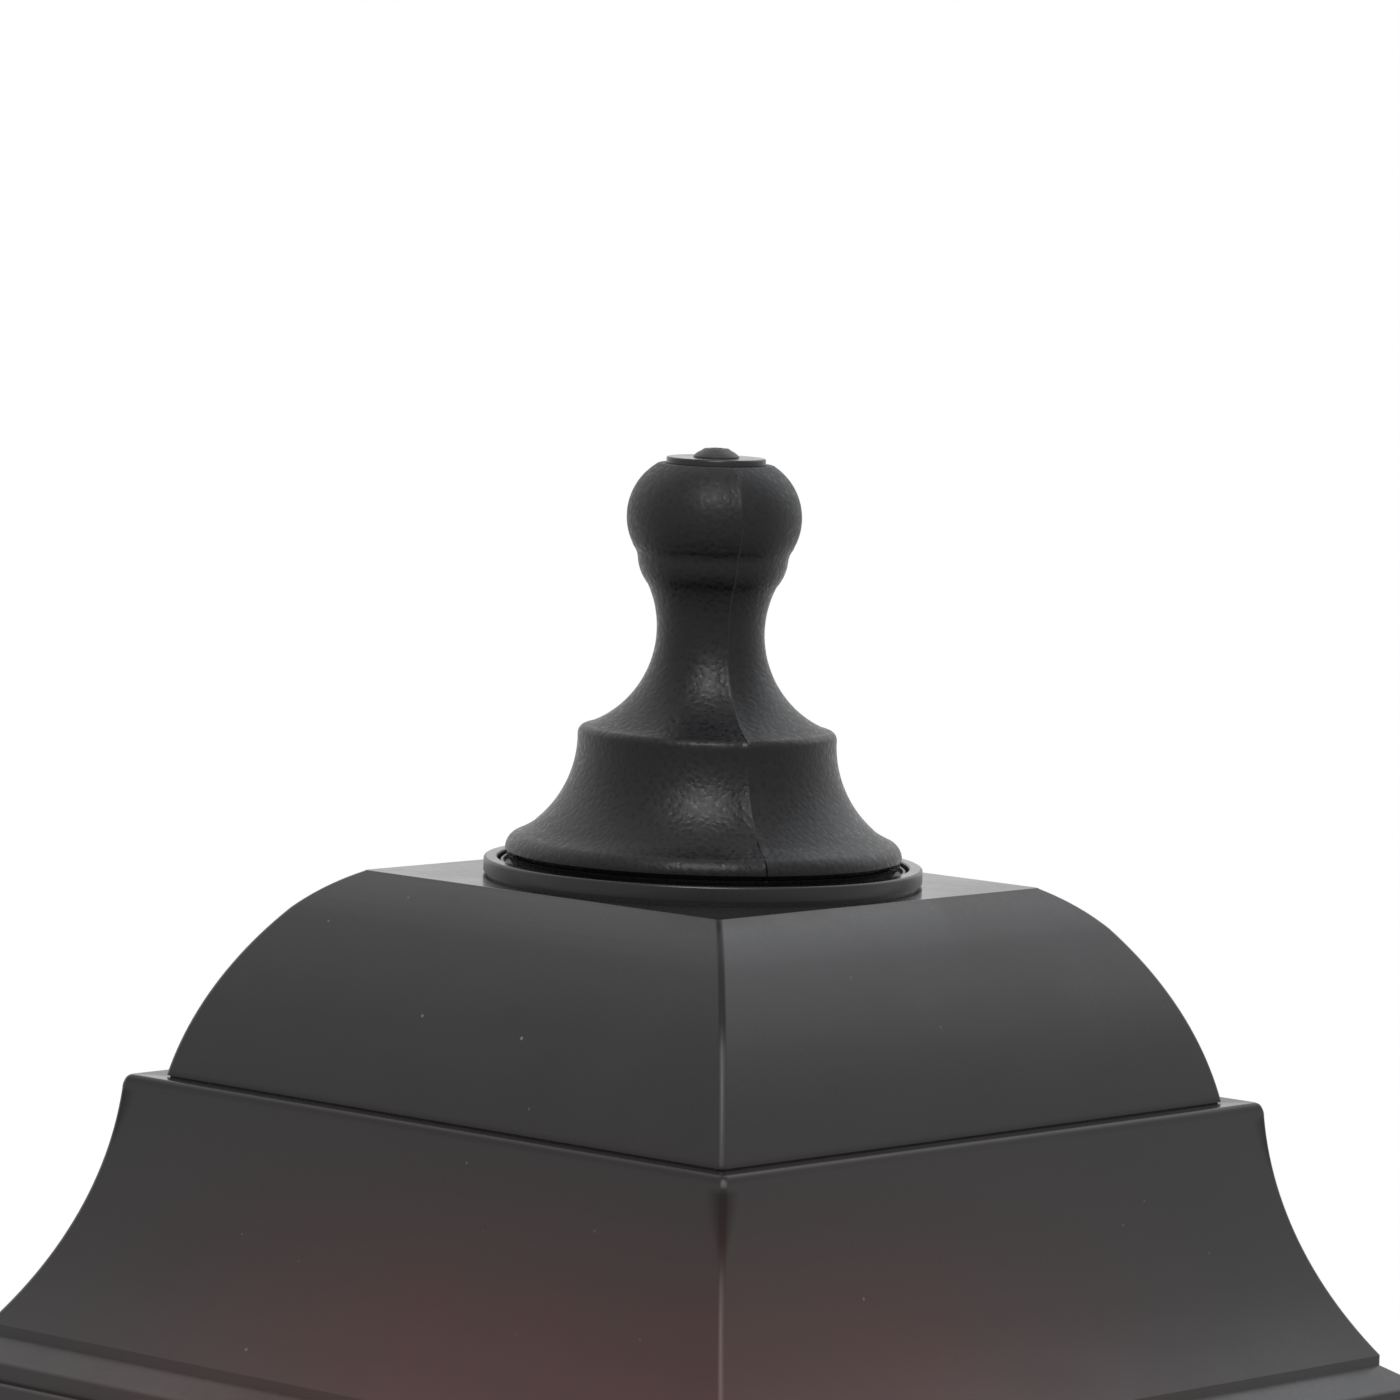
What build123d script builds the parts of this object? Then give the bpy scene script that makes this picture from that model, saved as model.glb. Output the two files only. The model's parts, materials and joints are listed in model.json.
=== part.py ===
from build123d import *
import os
from math import acos, atan2, ceil, cos, hypot, pi, sin, sqrt

# Outdoor wall lantern: a four-sided glazed lantern standing on a hollow arm.
# Millimetres. The origin is on the wall, at the centre of the wall plate's back.
# +Y runs into the wall, +Z is up, and the lantern stands out towards -Y.
# Two-dimensional outlines are (radius or half-width, height) and run from the top down.

os.makedirs("parts", exist_ok=True)

# A quarter round's rise over its chord, as a share of its radius
quarter_rise = 1 - sqrt(0.5)

# How near a cove or bead is taken to its full height before its edge turns level
nearly_full = 0.99

# How far a turned curve's short straight steps may leave the curve
step_sag = 0.15

# Clearances shared by every fit
running_gap = 0.05
slip_gap = 0.2
loose_gap = 0.5
sight_gap = 0.3

# Lantern axis
reach = 128.0

# Wall plate, a stepped tray with its open side to the wall
plate_half_width = 48.0
plate_half_height = 63.0
plate_depth = 22.0
plate_wall = 2.5
plate_band = 4.0
plate_band_step = 2.5
plate_cove_width = 7.5
plate_cove_depth = 9.5
plate_fillet_step = 1.5
plate_crown_width = 5.0
plate_crown_bow = 1.0
plate_cove_bow = 1.6
plate_inner_band_share = 0.6
gasket_width = 5.0
gasket_depth = 2.0

# Wall strap and what it carries
strap_thickness = 2.0
strap_width = 20.0
strap_half_length = 53.0
strap_pad_radius = 18.0
wall_slot_spacing = 84.0
wall_slot_width = 4.6
wall_slot_length = 12.0
stud_spacing = 60.0
stud_radius = 2.0
stud_shoulder_radius = 3.2
stud_shoulder_height = 1.2
stud_beyond_washer = 5.5
grommet_seat_radius = 10.0
grommet_flange_radius = 12.5
grommet_flange_height = 2.0
cable_bore_radius = 4.5

# Acorn nuts and washers
washer_radius = 4.6
washer_thickness = 0.8
acorn_across_flats = 7.0
acorn_hex_height = 3.4
acorn_dome_radius = 3.1
acorn_tip_radius = 0.6
acorn_dome_bow = 0.75

# Arm
arm_radius = 8.0
arm_wall = 1.5
arm_inside_plate = 4.5
first_bend_radius = 20.0
u_bend_radius = 30.0
arm_leg_drop = 2.0
rosette_radius = 21.0
rosette_height = 6.0
rosette_neck_radius = 11.0
rosette_edge_width = 2.0
rosette_cove_bow = 1.2
rosette_edge_bow = 0.6
locknut_across_flats = 24.0
locknut_height = 4.0

# Nipple that clamps arm, cup, pan and lampholder together
nipple_radius = 5.0
nipple_bore_radius = 3.8
bush_length = 10.0
nipple_in_bush = 9.0
nipple_nut_across_flats = 14.0
nipple_nut_height = 3.0

# Base cup
cup_bottom_z = -6.0
cup_socket_depth = 10.0
cup_web = 2.5
cup_height = 20.0
cup_neck_radius = 10.4
cup_bead_height = 4.0
cup_bead_bulge = 1.1
cup_cove_radius = 13.0
cup_rim_radius = 25.5
cup_rim_height = 3.0
cup_wall = 2.5
cup_rim_lip = 1.0

# Base pan, four-sided
pan_foot_half = 29.0
pan_foot_height = 3.0
pan_cove_radius = 14.0
pan_step_width = 4.0
pan_step_height = 2.0
pan_slope_width = 4.0
pan_slope_height = 3.0
pan_rim_height = 3.0
pan_wall = 2.5
pan_rim_inner_half = 40.5

# Sill frame
sill_half = 52.5
sill_inner_half = 36.0
sill_thickness = 4.0
sill_edge_bevel = 1.2
sill_corner_round = 2.5
rail_thickness = 2.6
rail_height = 5.0

# Corner posts and panes
post_side = 11.0
post_in_from_sill = 4.0
post_in_from_frame = 13.0
post_length = 111.0
post_corner_round = 2.5
post_screw_inset = 4.0
pane_thickness = 2.0
pane_inset = 4.1
pane_slot = 2.3
pane_slot_depth = 4.0

# Top frame
frame_width = 25.5
frame_thickness = 5.0
roof_gasket_thickness = 1.0
roof_gasket_width = 4.0

# Screws through frame and pan into the posts
post_screw_radius = 1.45
post_screw_head_radius = 2.8
post_screw_head_height = 2.0
post_screw_head_bevel = 0.8
post_screw_bite = 8.0
pan_counterbore_radius = 3.1
pan_counterbore_land = 4.5

# Roof, heights measured down from the ledge or up from it
top_plate_half = 36.6
tier_height = 32.25
tier_haunch_half = 44.5
tier_haunch_height = 26.25
tier_haunch_bow = 0.54
tier_side_bow = 1.77
tier_half = 57.4
groove_height = 0.3
groove_depth = 0.5
ledge_half = 62.0
ledge_round = 1.9
flare_drop = 38.75
flare_bow = 2.71
drip_step = 1.6
slope_width = 5.1
slope_drop = 3.1
band_drop = 2.6
fascia_half = 82.5
fascia_step = 1.6
fascia_round = 1.2
fascia_drop = 8.9
roof_wall = 2.5
tier_inner_bow = 3.21
skirt_depth = 8.0

# Roof bridge, its insert and screws
bridge_thickness = 2.0
bridge_width = 18.0
bridge_in_from_frame = 7.5
bridge_foot_length = 15.0
bridge_height = 17.0
bridge_screw_in = 6.0
insert_radius = 4.0
insert_flange_radius = 5.6
insert_flange_height = 1.0
insert_length = 7.0

# Cap screw, washer and retainer
screw_radius = 2.0
screw_head_radius = 3.5
screw_head_height = 1.5
screw_head_edge = 0.2
screw_head_bow = 0.34
screw_recess_width = 0.8
screw_recess_depth = 0.9
screw_past_insert = 1.0
screw_travel = 8.0
penny_radius = 7.57
penny_thickness = 1.0
retainer_radius = 6.0
retainer_thickness = 2.5

# Collar ring, a shallow dish on the top plate
collar_radius = 33.5
collar_foot_radius = 32.9
collar_foot_height = 0.5
collar_rim_height = 2.7
collar_inner_radius = 31.4
collar_floor = 1.0
collar_spigot_radius = 9.0
collar_spigot_wall = 2.5
collar_edge_bevel = 0.35

# Seal under the finial
seal_thickness = 0.5
seal_radius = 30.9
seal_lip = 0.45
seal_lip_height = 1.2
seal_inner_radius = 24.0

# Finial, heights above its foot
finial_height = 61.9
finial_wall = 2.5
bead_radius = 2.7
bead_centre_radius = 27.6
bead_centre_height = 2.5
finial_foot_radius = 28.6
skirt_radius = 19.7
skirt_top_height = 20.3
skirt_curve = 17.4
skirt_centre_height = 19.9
shoulder_radius = 18.4
shoulder_bow = 0.45
neck_radius = 8.22
neck_height = 36.5
neck_curve = 15.8
echinus_radius = 11.4
echinus_low_height = 43.4
echinus_high_height = 48.0
echinus_bow = 0.3
ball_radius = 13.38
ball_curve = 9.43
ball_height = 53.8
ball_low_height = 48.4
finial_crown = 5.0

# Lampholder, heights above its foot
holder_radius = 20.0
holder_foot_radius = 9.0
holder_neck_height = 4.0
holder_shoulder_height = 12.0
holder_cap_height = 20.0
holder_height = 47.0
holder_wall = 2.0
holder_thread_depth = 6.5
holder_mouth_radius = 18.4
core_thickness = 8.0
core_seat = 1.5
sleeve_radius = 13.25
sleeve_wall = 0.5
sleeve_height = 23.0
contact_height = 2.4
contact_radius = 3.4

# Bulb, heights above its foot contact
bulb_thread_radius = 13.2
bulb_cap_height = 25.0
bulb_cap_wall = 0.5
bulb_cap_cone_height = 5.5
bulb_cap_cone_radius = 9.5
bulb_contact_radius = 4.5
bulb_contact_height = 1.5
bulb_cap_lip_height = 2.5
globe_radius = 30.0
globe_height = 74.0
globe_wall = 1.0
globe_seat_height = 1.2
globe_tip_radius = 1.0
globe_hip_angle = 40.0
globe_neck_height = 31.0
globe_neck_bow = 1.6
globe_neck_radius = 12.6
stem_radius = 3.6
stem_top_radius = 1.4
stem_bottom_height = 27.0
stem_top_height = 60.0
stem_flare_height = 8.0
stem_flare_bow = 3.0
filament_radius = 0.9
filament_length = 36.0
filament_circle = 9.0
filament_low_height = 46.0
filament_count = 4
lead_radius = 0.35

# Terminal block and inner wires
block_width = 16.0
block_height = 12.0
block_depth = 9.0
block_corner_round = 1.0
block_port_depth = 2.0
block_port_edge = 0.6
block_centre_z = -21.0
wire_radius = 1.2
wire_offset = 2.3
wire_sides = 6
wire_bend_radius = 7.0

# Places worked out from the sizes above
arm_top_z = cup_bottom_z + cup_socket_depth
pan_bottom_z = cup_bottom_z + cup_height
pan_cove_top = pan_foot_height + pan_cove_radius
pan_step_half = pan_foot_half + pan_cove_radius + pan_step_width
pan_step_top = pan_cove_top + pan_step_height
pan_half = pan_step_half + pan_slope_width
pan_height = pan_step_top + pan_slope_height + pan_rim_height
sill_bottom_z = pan_bottom_z + pan_height
sill_top_z = sill_bottom_z + sill_thickness
frame_bottom_z = sill_top_z + post_length
frame_top_z = frame_bottom_z + frame_thickness
seat_z = frame_top_z + roof_gasket_thickness
roof_depth = flare_drop + drip_step + slope_drop + band_drop + fascia_drop
ledge_z = seat_z - skirt_depth + roof_depth
top_plate_z = ledge_z + tier_height
finial_foot_z = top_plate_z + collar_floor + seal_thickness
finial_top_z = finial_foot_z + finial_height
penny_top_z = finial_top_z + penny_thickness
bridge_top_z = frame_top_z + bridge_height
insert_bottom_z = bridge_top_z + insert_flange_height - insert_length
slope_half = fascia_half - fascia_step
flare_half = slope_half - slope_width
skirt_inner_half = fascia_half - roof_wall
frame_half = skirt_inner_half - loose_gap
frame_inner_half = frame_half - frame_width
post_half_top = frame_half - post_in_from_frame
post_half_bottom = sill_half - post_in_from_sill
bridge_half = frame_half - bridge_in_from_frame
bridge_leg_half = bridge_half - bridge_foot_length
bridge_screw_half = bridge_half - bridge_screw_in
plate_inner_y = -(plate_depth - plate_wall)
pan_floor_z = pan_bottom_z + pan_wall
holder_z = pan_floor_z + nipple_nut_height + loose_gap
core_bottom_z = holder_z + holder_shoulder_height + core_seat
core_top_z = core_bottom_z + core_thickness
bulb_z = core_top_z + contact_height + sight_gap
nipple_top_z = holder_z + holder_thread_depth
block_top_z = block_centre_z + block_height / 2


def chain(*runs):
    """A face from lines and arcs that close on themselves."""
    return Face(Wire([edge for run in runs for edge in run.edges()]))


def bow(start, end, rise):
    """An arc from start to end that rises to the left of the way it runs, and sinks if negative."""
    run, climb = end[0] - start[0], end[1] - start[1]
    length = hypot(run, climb)
    middle = (
        (start[0] + end[0]) / 2 - climb / length * rise,
        (start[1] + end[1]) / 2 + run / length * rise,
    )
    return ThreePointArc(start, middle, end)


def across(centre, curve, height, side):
    """The point of a circle at a height, on its right (1) or left (-1)."""
    return (centre[0] + side * sqrt(curve**2 - (height - centre[1]) ** 2), height)


def arc_about(centre, start, end, side):
    """The arc about a centre that passes its right (1) or left (-1)."""
    curve = hypot(start[0] - centre[0], start[1] - centre[1])
    turn = 0 if side > 0 else pi
    angles = []
    for point in (start, end):
        angle = atan2(point[1] - centre[1], point[0] - centre[0]) - turn
        angles.append(atan2(sin(angle), cos(angle)))
    middle = sum(angles) / 2 + turn
    return ThreePointArc(
        start, (centre[0] + curve * cos(middle), centre[1] + curve * sin(middle)), end
    )


def in_steps(*runs):
    """The same outline with each arc cut into even straight steps, which keeps a turned piece light."""
    edges = []
    for run in runs:
        for edge in run.edges():
            if edge.geom_type == GeomType.LINE:
                edges.append(edge)
                continue
            step_angle = 2 * acos(1 - min(step_sag / edge.radius, 0.5))
            count = ceil(edge.length / edge.radius / step_angle)
            places = [edge @ (index / count) for index in range(count + 1)]
            edges += [Edge.make_line(*pair) for pair in zip(places, places[1:])]
    return edges


def turned(*runs):
    """A solid turned about the Z axis from an outline of (radius, height)."""
    return revolve(Plane.XZ * Face(Wire(in_steps(*runs))), axis=Axis.Z)


def ring(outer, inner, low, high):
    """A plain turned ring or tube."""
    return turned(
        Polyline((inner, low), (outer, low), (outer, high), (inner, high), (inner, low))
    )


def rod(radius, low, high):
    """A plain upright rod."""
    return Pos(0, 0, low) * Cylinder(radius, high - low, align=(Align.CENTER, Align.CENTER, Align.MIN))


def square_ring(outer, inner, low, high):
    """A flat square ring given by its half-widths."""
    height = high - low
    base = (Align.CENTER, Align.CENTER, Align.MIN)
    return Pos(0, 0, low) * (
        Box(2 * outer, 2 * outer, height, align=base)
        - Box(2 * inner, 2 * inner, height, align=base)
    )


def mitred(face, other, reach_out):
    """The four-sided solid where one extruded outline crosses another at right angles."""
    first = extrude(Plane.XZ * face, amount=reach_out, both=True)
    second = Rot(0, 0, 90) * extrude(Plane.XZ * other, amount=reach_out, both=True)
    return first & second


def both_sides(*runs):
    """A face from an outline on the right of the axis and its mirror image."""
    half = chain(*runs)
    return half + mirror(half, about=Plane.YZ)


def at_lantern(shape):
    """Moves a piece modelled about the Z axis to the lantern's axis."""
    return Pos(0, -reach, 0) * shape


def at_corners(shape, half):
    """Four copies of a piece, one at each corner of a square."""
    return [Pos(x * half, y * half, 0) * shape for x in (-1, 1) for y in (-1, 1)]


def hexagon(across_flats, low, high):
    """A hexagonal bar about the Z axis."""
    return Pos(0, 0, low) * extrude(RegularPolygon(across_flats / 2, 6, major_radius=False), high - low)


def facing_out(shape, y):
    """Turns a piece modelled upwards so that it points away from the wall, from a depth."""
    return Pos(0, y, 0) * Rot(90, 0, 0) * shape


def save(name, shape):
    export_step(shape, f"parts/{name}.step")


# Wall plate
def plate_outline(half, inset):
    """The tray's right side at a half-size, from its front face to the wall, drawn inside by an inset."""
    front = plate_depth - inset
    crown = half - plate_band_step - plate_cove_width - plate_fillet_step - plate_crown_width
    cove_top = half - plate_band_step - plate_cove_width - inset
    cove_low = half - plate_band_step - inset
    low = plate_band - inset * plate_inner_band_share
    high = low + plate_cove_depth
    lip = high + plate_fillet_step
    return [
        Line((0, front), (crown - inset, front)),
        bow((crown - inset, front), (cove_top - plate_fillet_step, lip), plate_crown_bow),
        Line((cove_top - plate_fillet_step, lip), (cove_top, lip)),
        Line((cove_top, lip), (cove_top, high)),
        bow((cove_top, high), (cove_low, low), -plate_cove_bow),
        Line((cove_low, low), (half - inset, low)),
        Line((half - inset, low), (half - inset, 0)),
        Line((half - inset, 0), (0, 0)),
        Line((0, 0), (0, front)),
    ]


def plate_solid(inset):
    width = both_sides(*plate_outline(plate_half_width, inset))
    height = both_sides(*plate_outline(plate_half_height, inset))
    return mitred(width, height, plate_half_height + plate_half_width)


def wall_plate():
    shell = facing_out(plate_solid(0) - plate_solid(plate_wall), 0)
    holes = facing_out(rod(arm_radius + running_gap, 0, plate_depth), 0)
    for side in (-1, 1):
        stud_hole = facing_out(rod(stud_radius + slip_gap, 0, plate_depth), 0)
        holes += Pos(0, 0, side * stud_spacing / 2) * stud_hole
    return shell - holes


def wall_gasket():
    outer_x = plate_half_width - plate_wall
    outer_z = plate_half_height - plate_wall
    centred = (Align.CENTER, Align.MAX, Align.CENTER)
    body = Box(2 * outer_x, gasket_depth, 2 * outer_z, align=centred)
    window = Box(
        2 * (outer_x - gasket_width), gasket_depth, 2 * (outer_z - gasket_width), align=centred
    )
    return body - window


save("wall_plate", wall_plate())
save("wall_gasket", wall_gasket())


# Wall strap, its studs and the cable grommet
def wall_strap():
    bar = Rectangle(strap_width, 2 * strap_half_length) + Circle(strap_pad_radius)
    bar -= Circle(grommet_seat_radius)
    for side in (-1, 1):
        bar -= Pos(0, side * wall_slot_spacing / 2) * SlotOverall(
            wall_slot_length, wall_slot_width, rotation=90
        )
        bar -= Pos(0, side * stud_spacing / 2) * Circle(stud_radius + running_gap)
    return facing_out(extrude(bar, strap_thickness), 0)


def canopy_studs():
    length = plate_depth + washer_thickness + stud_beyond_washer
    stud = rod(stud_radius, 0, length)
    stud += rod(stud_shoulder_radius, strap_thickness, strap_thickness + stud_shoulder_height)
    stud = facing_out(stud, 0)
    return Compound([Pos(0, 0, side * stud_spacing / 2) * stud for side in (-1, 1)])


def cable_grommet():
    neck = grommet_seat_radius - running_gap
    top = strap_thickness + grommet_flange_height
    body = turned(
        Polyline(
            (cable_bore_radius, 0),
            (neck, 0),
            (neck, strap_thickness),
            (grommet_flange_radius, strap_thickness),
            (grommet_flange_radius, top),
            (cable_bore_radius, top),
            (cable_bore_radius, 0),
        )
    )
    return facing_out(body, 0)


def stud_washers():
    washer = ring(washer_radius, stud_radius + slip_gap, plate_depth, plate_depth + washer_thickness)
    washer = facing_out(washer, 0)
    return Compound([Pos(0, 0, side * stud_spacing / 2) * washer for side in (-1, 1)])


def acorn_nuts():
    low = plate_depth + washer_thickness
    shoulder = low + acorn_hex_height
    crown = shoulder + acorn_dome_radius
    nut = hexagon(acorn_across_flats, low, shoulder)
    nut += turned(
        Line((0, crown), (acorn_tip_radius, crown)),
        bow((acorn_tip_radius, crown), (acorn_dome_radius, shoulder), acorn_dome_bow),
        Line((acorn_dome_radius, shoulder), (0, shoulder)),
        Line((0, shoulder), (0, crown)),
    )
    nut -= rod(stud_radius + running_gap, 0, low + stud_beyond_washer + running_gap)
    nut = facing_out(nut, 0)
    return Compound([Pos(0, 0, side * stud_spacing / 2) * nut for side in (-1, 1)])


save("wall_strap", wall_strap())
save("canopy_studs", canopy_studs())
save("cable_grommet", cable_grommet())
save("stud_washers", stud_washers())
save("acorn_nuts", acorn_nuts())


# Arm: level out of the plate, a quarter bend down, a half bend up into the cup
def arm_line(start_y, x=0.0, top_z=arm_top_z, entry=None):
    """The arm's centre line beside the plane of symmetry, with an optional run-in."""
    far_y = -(reach - 2 * u_bend_radius)
    bend_y = far_y + first_bend_radius
    leg_z = -first_bend_radius
    low_z = leg_z - arm_leg_drop
    side = Plane(origin=(x, 0, 0), x_dir=(0, 1, 0), z_dir=(1, 0, 0))
    half = sqrt(0.5)
    runs = list(entry or [])
    runs += [
        Line((start_y, 0), (bend_y, 0)),
        ThreePointArc(
            (bend_y, 0),
            (bend_y - first_bend_radius * half, leg_z + first_bend_radius * half),
            (far_y, leg_z),
        ),
        Line((far_y, leg_z), (far_y, low_z)),
        ThreePointArc(
            (far_y, low_z),
            (far_y - u_bend_radius, low_z - u_bend_radius),
            (-reach, low_z),
        ),
        Line((-reach, low_z), (-reach, top_z)),
    ]
    return side * Wire([edge for run in runs for edge in run.edges()])


def arm_tube():
    start_y = plate_inner_y + arm_inside_plate
    line = arm_line(start_y)
    end = Plane(origin=(0, start_y, 0), x_dir=(1, 0, 0), z_dir=(0, -1, 0))
    outside = sweep(end * Circle(arm_radius), path=line)
    inside = sweep(end * Circle(arm_radius - arm_wall), path=line)
    return outside - inside


def arm_rosette():
    bore = arm_radius + running_gap
    front = plate_depth + rosette_height
    edge_top = plate_depth + rosette_height / 3
    edge_in = rosette_radius - rosette_edge_width
    body = turned(
        Line((bore, front), (rosette_neck_radius, front)),
        bow((rosette_neck_radius, front), (edge_in, edge_top), -rosette_cove_bow),
        bow((edge_in, edge_top), (rosette_radius, plate_depth), rosette_edge_bow),
        Line((rosette_radius, plate_depth), (bore, plate_depth)),
        Line((bore, plate_depth), (bore, front)),
    )
    return facing_out(body, 0)


def arm_locknut():
    low = plate_depth - plate_wall - locknut_height
    nut = hexagon(locknut_across_flats, low, low + locknut_height)
    nut -= rod(arm_radius + running_gap, low, low + locknut_height)
    return facing_out(nut, 0)


save("arm_tube", arm_tube())
save("arm_rosette", arm_rosette())
save("arm_locknut", arm_locknut())

# Clamp of arm, cup and pan: bush in the tube's end, nipple and nut
bush_low = arm_top_z - bush_length
save(
    "arm_bush",
    at_lantern(
        ring(arm_radius - arm_wall - running_gap, nipple_radius + running_gap, bush_low, arm_top_z)
    ),
)
save(
    "base_nipple",
    at_lantern(ring(nipple_radius, nipple_bore_radius, arm_top_z - nipple_in_bush, nipple_top_z)),
)
nipple_nut = hexagon(nipple_nut_across_flats, pan_floor_z, pan_floor_z + nipple_nut_height)
nipple_nut -= rod(nipple_radius + running_gap, pan_floor_z, pan_floor_z + nipple_nut_height)
save("nipple_locknut", at_lantern(nipple_nut))


# Base cup
def base_cup():
    socket = arm_radius + running_gap
    hole = nipple_radius + slip_gap
    cove = (cup_neck_radius + cup_cove_radius, cup_bead_height)
    lip_height = cup_height - cup_rim_height
    lip = across(cove, cup_cove_radius, min(lip_height, cup_bead_height + cup_cove_radius * nearly_full), -1)
    floor_height = cup_socket_depth + cup_web
    inner_curve = cup_cove_radius + cup_wall
    inner_low = across(cove, inner_curve, floor_height, -1)
    inner_top_height = min(cup_height - cup_rim_lip, cove[1] + inner_curve * nearly_full)
    inner_top = across(cove, inner_curve, inner_top_height, -1)
    rim_inner = cup_rim_radius - cup_wall
    body = turned(
        Line((rim_inner, cup_height), (cup_rim_radius, cup_height)),
        Line((cup_rim_radius, cup_height), (cup_rim_radius, lip[1])),
        Line((cup_rim_radius, lip[1]), lip),
        arc_about(cove, lip, (cup_neck_radius, cup_bead_height), -1),
        bow((cup_neck_radius, cup_bead_height), (cup_neck_radius, 0), cup_bead_bulge),
        Line((cup_neck_radius, 0), (socket, 0)),
        Line((socket, 0), (socket, cup_socket_depth)),
        Line((socket, cup_socket_depth), (hole, cup_socket_depth)),
        Line((hole, cup_socket_depth), (hole, floor_height)),
        Line((hole, floor_height), inner_low),
        arc_about(cove, inner_low, inner_top, -1),
        Line(inner_top, (rim_inner, inner_top[1])),
        Line((rim_inner, inner_top[1]), (rim_inner, cup_height)),
    )
    return Pos(0, 0, cup_bottom_z) * body


save("base_cup", at_lantern(base_cup()))


# Base pan
def base_pan():
    cove = (pan_foot_half + pan_cove_radius, pan_foot_height)
    cove_end = (cove[0], pan_cove_top)
    outer = both_sides(
        Line((0, pan_height), (pan_half, pan_height)),
        Line((pan_half, pan_height), (pan_half, pan_height - pan_rim_height)),
        Line((pan_half, pan_height - pan_rim_height), (pan_step_half, pan_step_top)),
        Line((pan_step_half, pan_step_top), (pan_step_half, pan_cove_top)),
        Line((pan_step_half, pan_cove_top), cove_end),
        arc_about(cove, cove_end, (pan_foot_half, pan_foot_height), -1),
        Line((pan_foot_half, pan_foot_height), (pan_foot_half, 0)),
        Line((pan_foot_half, 0), (0, 0)),
        Line((0, 0), (0, pan_height)),
    )
    inner_curve = pan_cove_radius + pan_wall
    inner_low = (pan_foot_half - pan_wall, pan_foot_height)
    inner_height = cove[1] + sqrt(inner_curve**2 - (cove[0] - pan_rim_inner_half) ** 2)
    inner_top = (pan_rim_inner_half, inner_height)
    inner = both_sides(
        Line((0, pan_height), (pan_rim_inner_half, pan_height)),
        Line((pan_rim_inner_half, pan_height), inner_top),
        arc_about(cove, inner_top, inner_low, -1),
        Line(inner_low, (inner_low[0], pan_wall)),
        Line((inner_low[0], pan_wall), (0, pan_wall)),
        Line((0, pan_wall), (0, pan_height)),
    )
    bowl = mitred(outer, outer, pan_half) - mitred(inner, inner, pan_half)
    bowl -= rod(nipple_radius + slip_gap, 0, pan_wall)
    screw_half = post_half_bottom - post_screw_inset
    land = pan_height - pan_counterbore_land
    for hole in at_corners(rod(pan_counterbore_radius, 0, land), screw_half):
        bowl -= hole
    for hole in at_corners(rod(post_screw_radius + running_gap, land, pan_height), screw_half):
        bowl -= hole
    return Pos(0, 0, pan_bottom_z) * bowl


save("base_pan", at_lantern(base_pan()))


# Sill frame with its four glazing rails
def rail(low, high, pane_half, post_half):
    """One straight rail in front of a pane, between two posts, on the -Y side."""
    length = 2 * (post_half - post_side - sight_gap)
    return Pos(0, -(pane_half + rail_thickness / 2), low) * Box(
        length, rail_thickness, high - low, align=(Align.CENTER, Align.CENTER, Align.MIN)
    )


def on_four_sides(shape):
    return [Rot(0, 0, 90 * side) * shape for side in range(4)]


post_slant = (post_half_top - post_half_bottom) / post_length


def sill_frame():
    rim = Pos(0, 0, sill_bottom_z) * Box(
        2 * sill_half, 2 * sill_half, sill_thickness, align=(Align.CENTER, Align.CENTER, Align.MIN)
    )
    rim = fillet(rim.edges().filter_by(Axis.Z), sill_corner_round)
    outer_edges = rim.edges().group_by(Axis.Z)[-1] + rim.edges().group_by(Axis.Z)[0]
    rim = chamfer(outer_edges, sill_edge_bevel)
    rim -= Pos(0, 0, sill_bottom_z) * Box(
        2 * sill_inner_half, 2 * sill_inner_half, sill_thickness,
        align=(Align.CENTER, Align.CENTER, Align.MIN),
    )
    pane_half = post_half_bottom - pane_inset + post_slant * rail_height + slip_gap
    for bar in on_four_sides(rail(sill_top_z, sill_top_z + rail_height, pane_half, post_half_bottom)):
        rim += bar
    hole = rod(post_screw_radius + running_gap, sill_bottom_z, sill_top_z)
    for cut in at_corners(hole, post_half_bottom - post_screw_inset):
        rim -= cut
    return rim


save("sill_frame", at_lantern(sill_frame()))


# Corner posts, leaning outwards, grooved for the panes
def corner_post():
    """The post of the +X, -Y corner."""
    outer = post_half_bottom
    inner = outer - post_side
    plan = Pos((outer + inner) / 2, -(outer + inner) / 2) * Rectangle(post_side, post_side)
    plan = fillet(
        plan.vertices().sort_by_distance((outer, -outer))[0], post_corner_round
    )
    slot_middle = outer - pane_inset - pane_thickness / 2
    groove_middle = inner + pane_slot_depth / 2
    plan -= Pos(groove_middle, -slot_middle) * Rectangle(pane_slot_depth, pane_slot)
    plan -= Pos(slot_middle, -groove_middle) * Rectangle(pane_slot, pane_slot_depth)
    lean = (post_half_top - post_half_bottom, -(post_half_top - post_half_bottom), post_length)
    length = sqrt(sum(side**2 for side in lean))
    post = extrude(Pos(0, 0, sill_top_z) * plan, amount=length, dir=lean)
    pilot = post_screw_bite + slip_gap
    low_hole = rod(post_screw_radius + running_gap, sill_top_z, sill_top_z + pilot)
    high_hole = rod(post_screw_radius + running_gap, frame_bottom_z - pilot, frame_bottom_z)
    low_half = post_half_bottom - post_screw_inset
    high_half = post_half_top - post_screw_inset
    post -= Pos(low_half, -low_half, 0) * low_hole
    post -= Pos(high_half, -high_half, 0) * high_hole
    return post


post = corner_post()
save("post_front_right", at_lantern(post))
save("post_back_right", at_lantern(mirror(post, about=Plane.XZ)))
save("post_front_left", at_lantern(mirror(post, about=Plane.YZ)))
save("post_back_left", at_lantern(mirror(mirror(post, about=Plane.XZ), about=Plane.YZ)))


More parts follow.
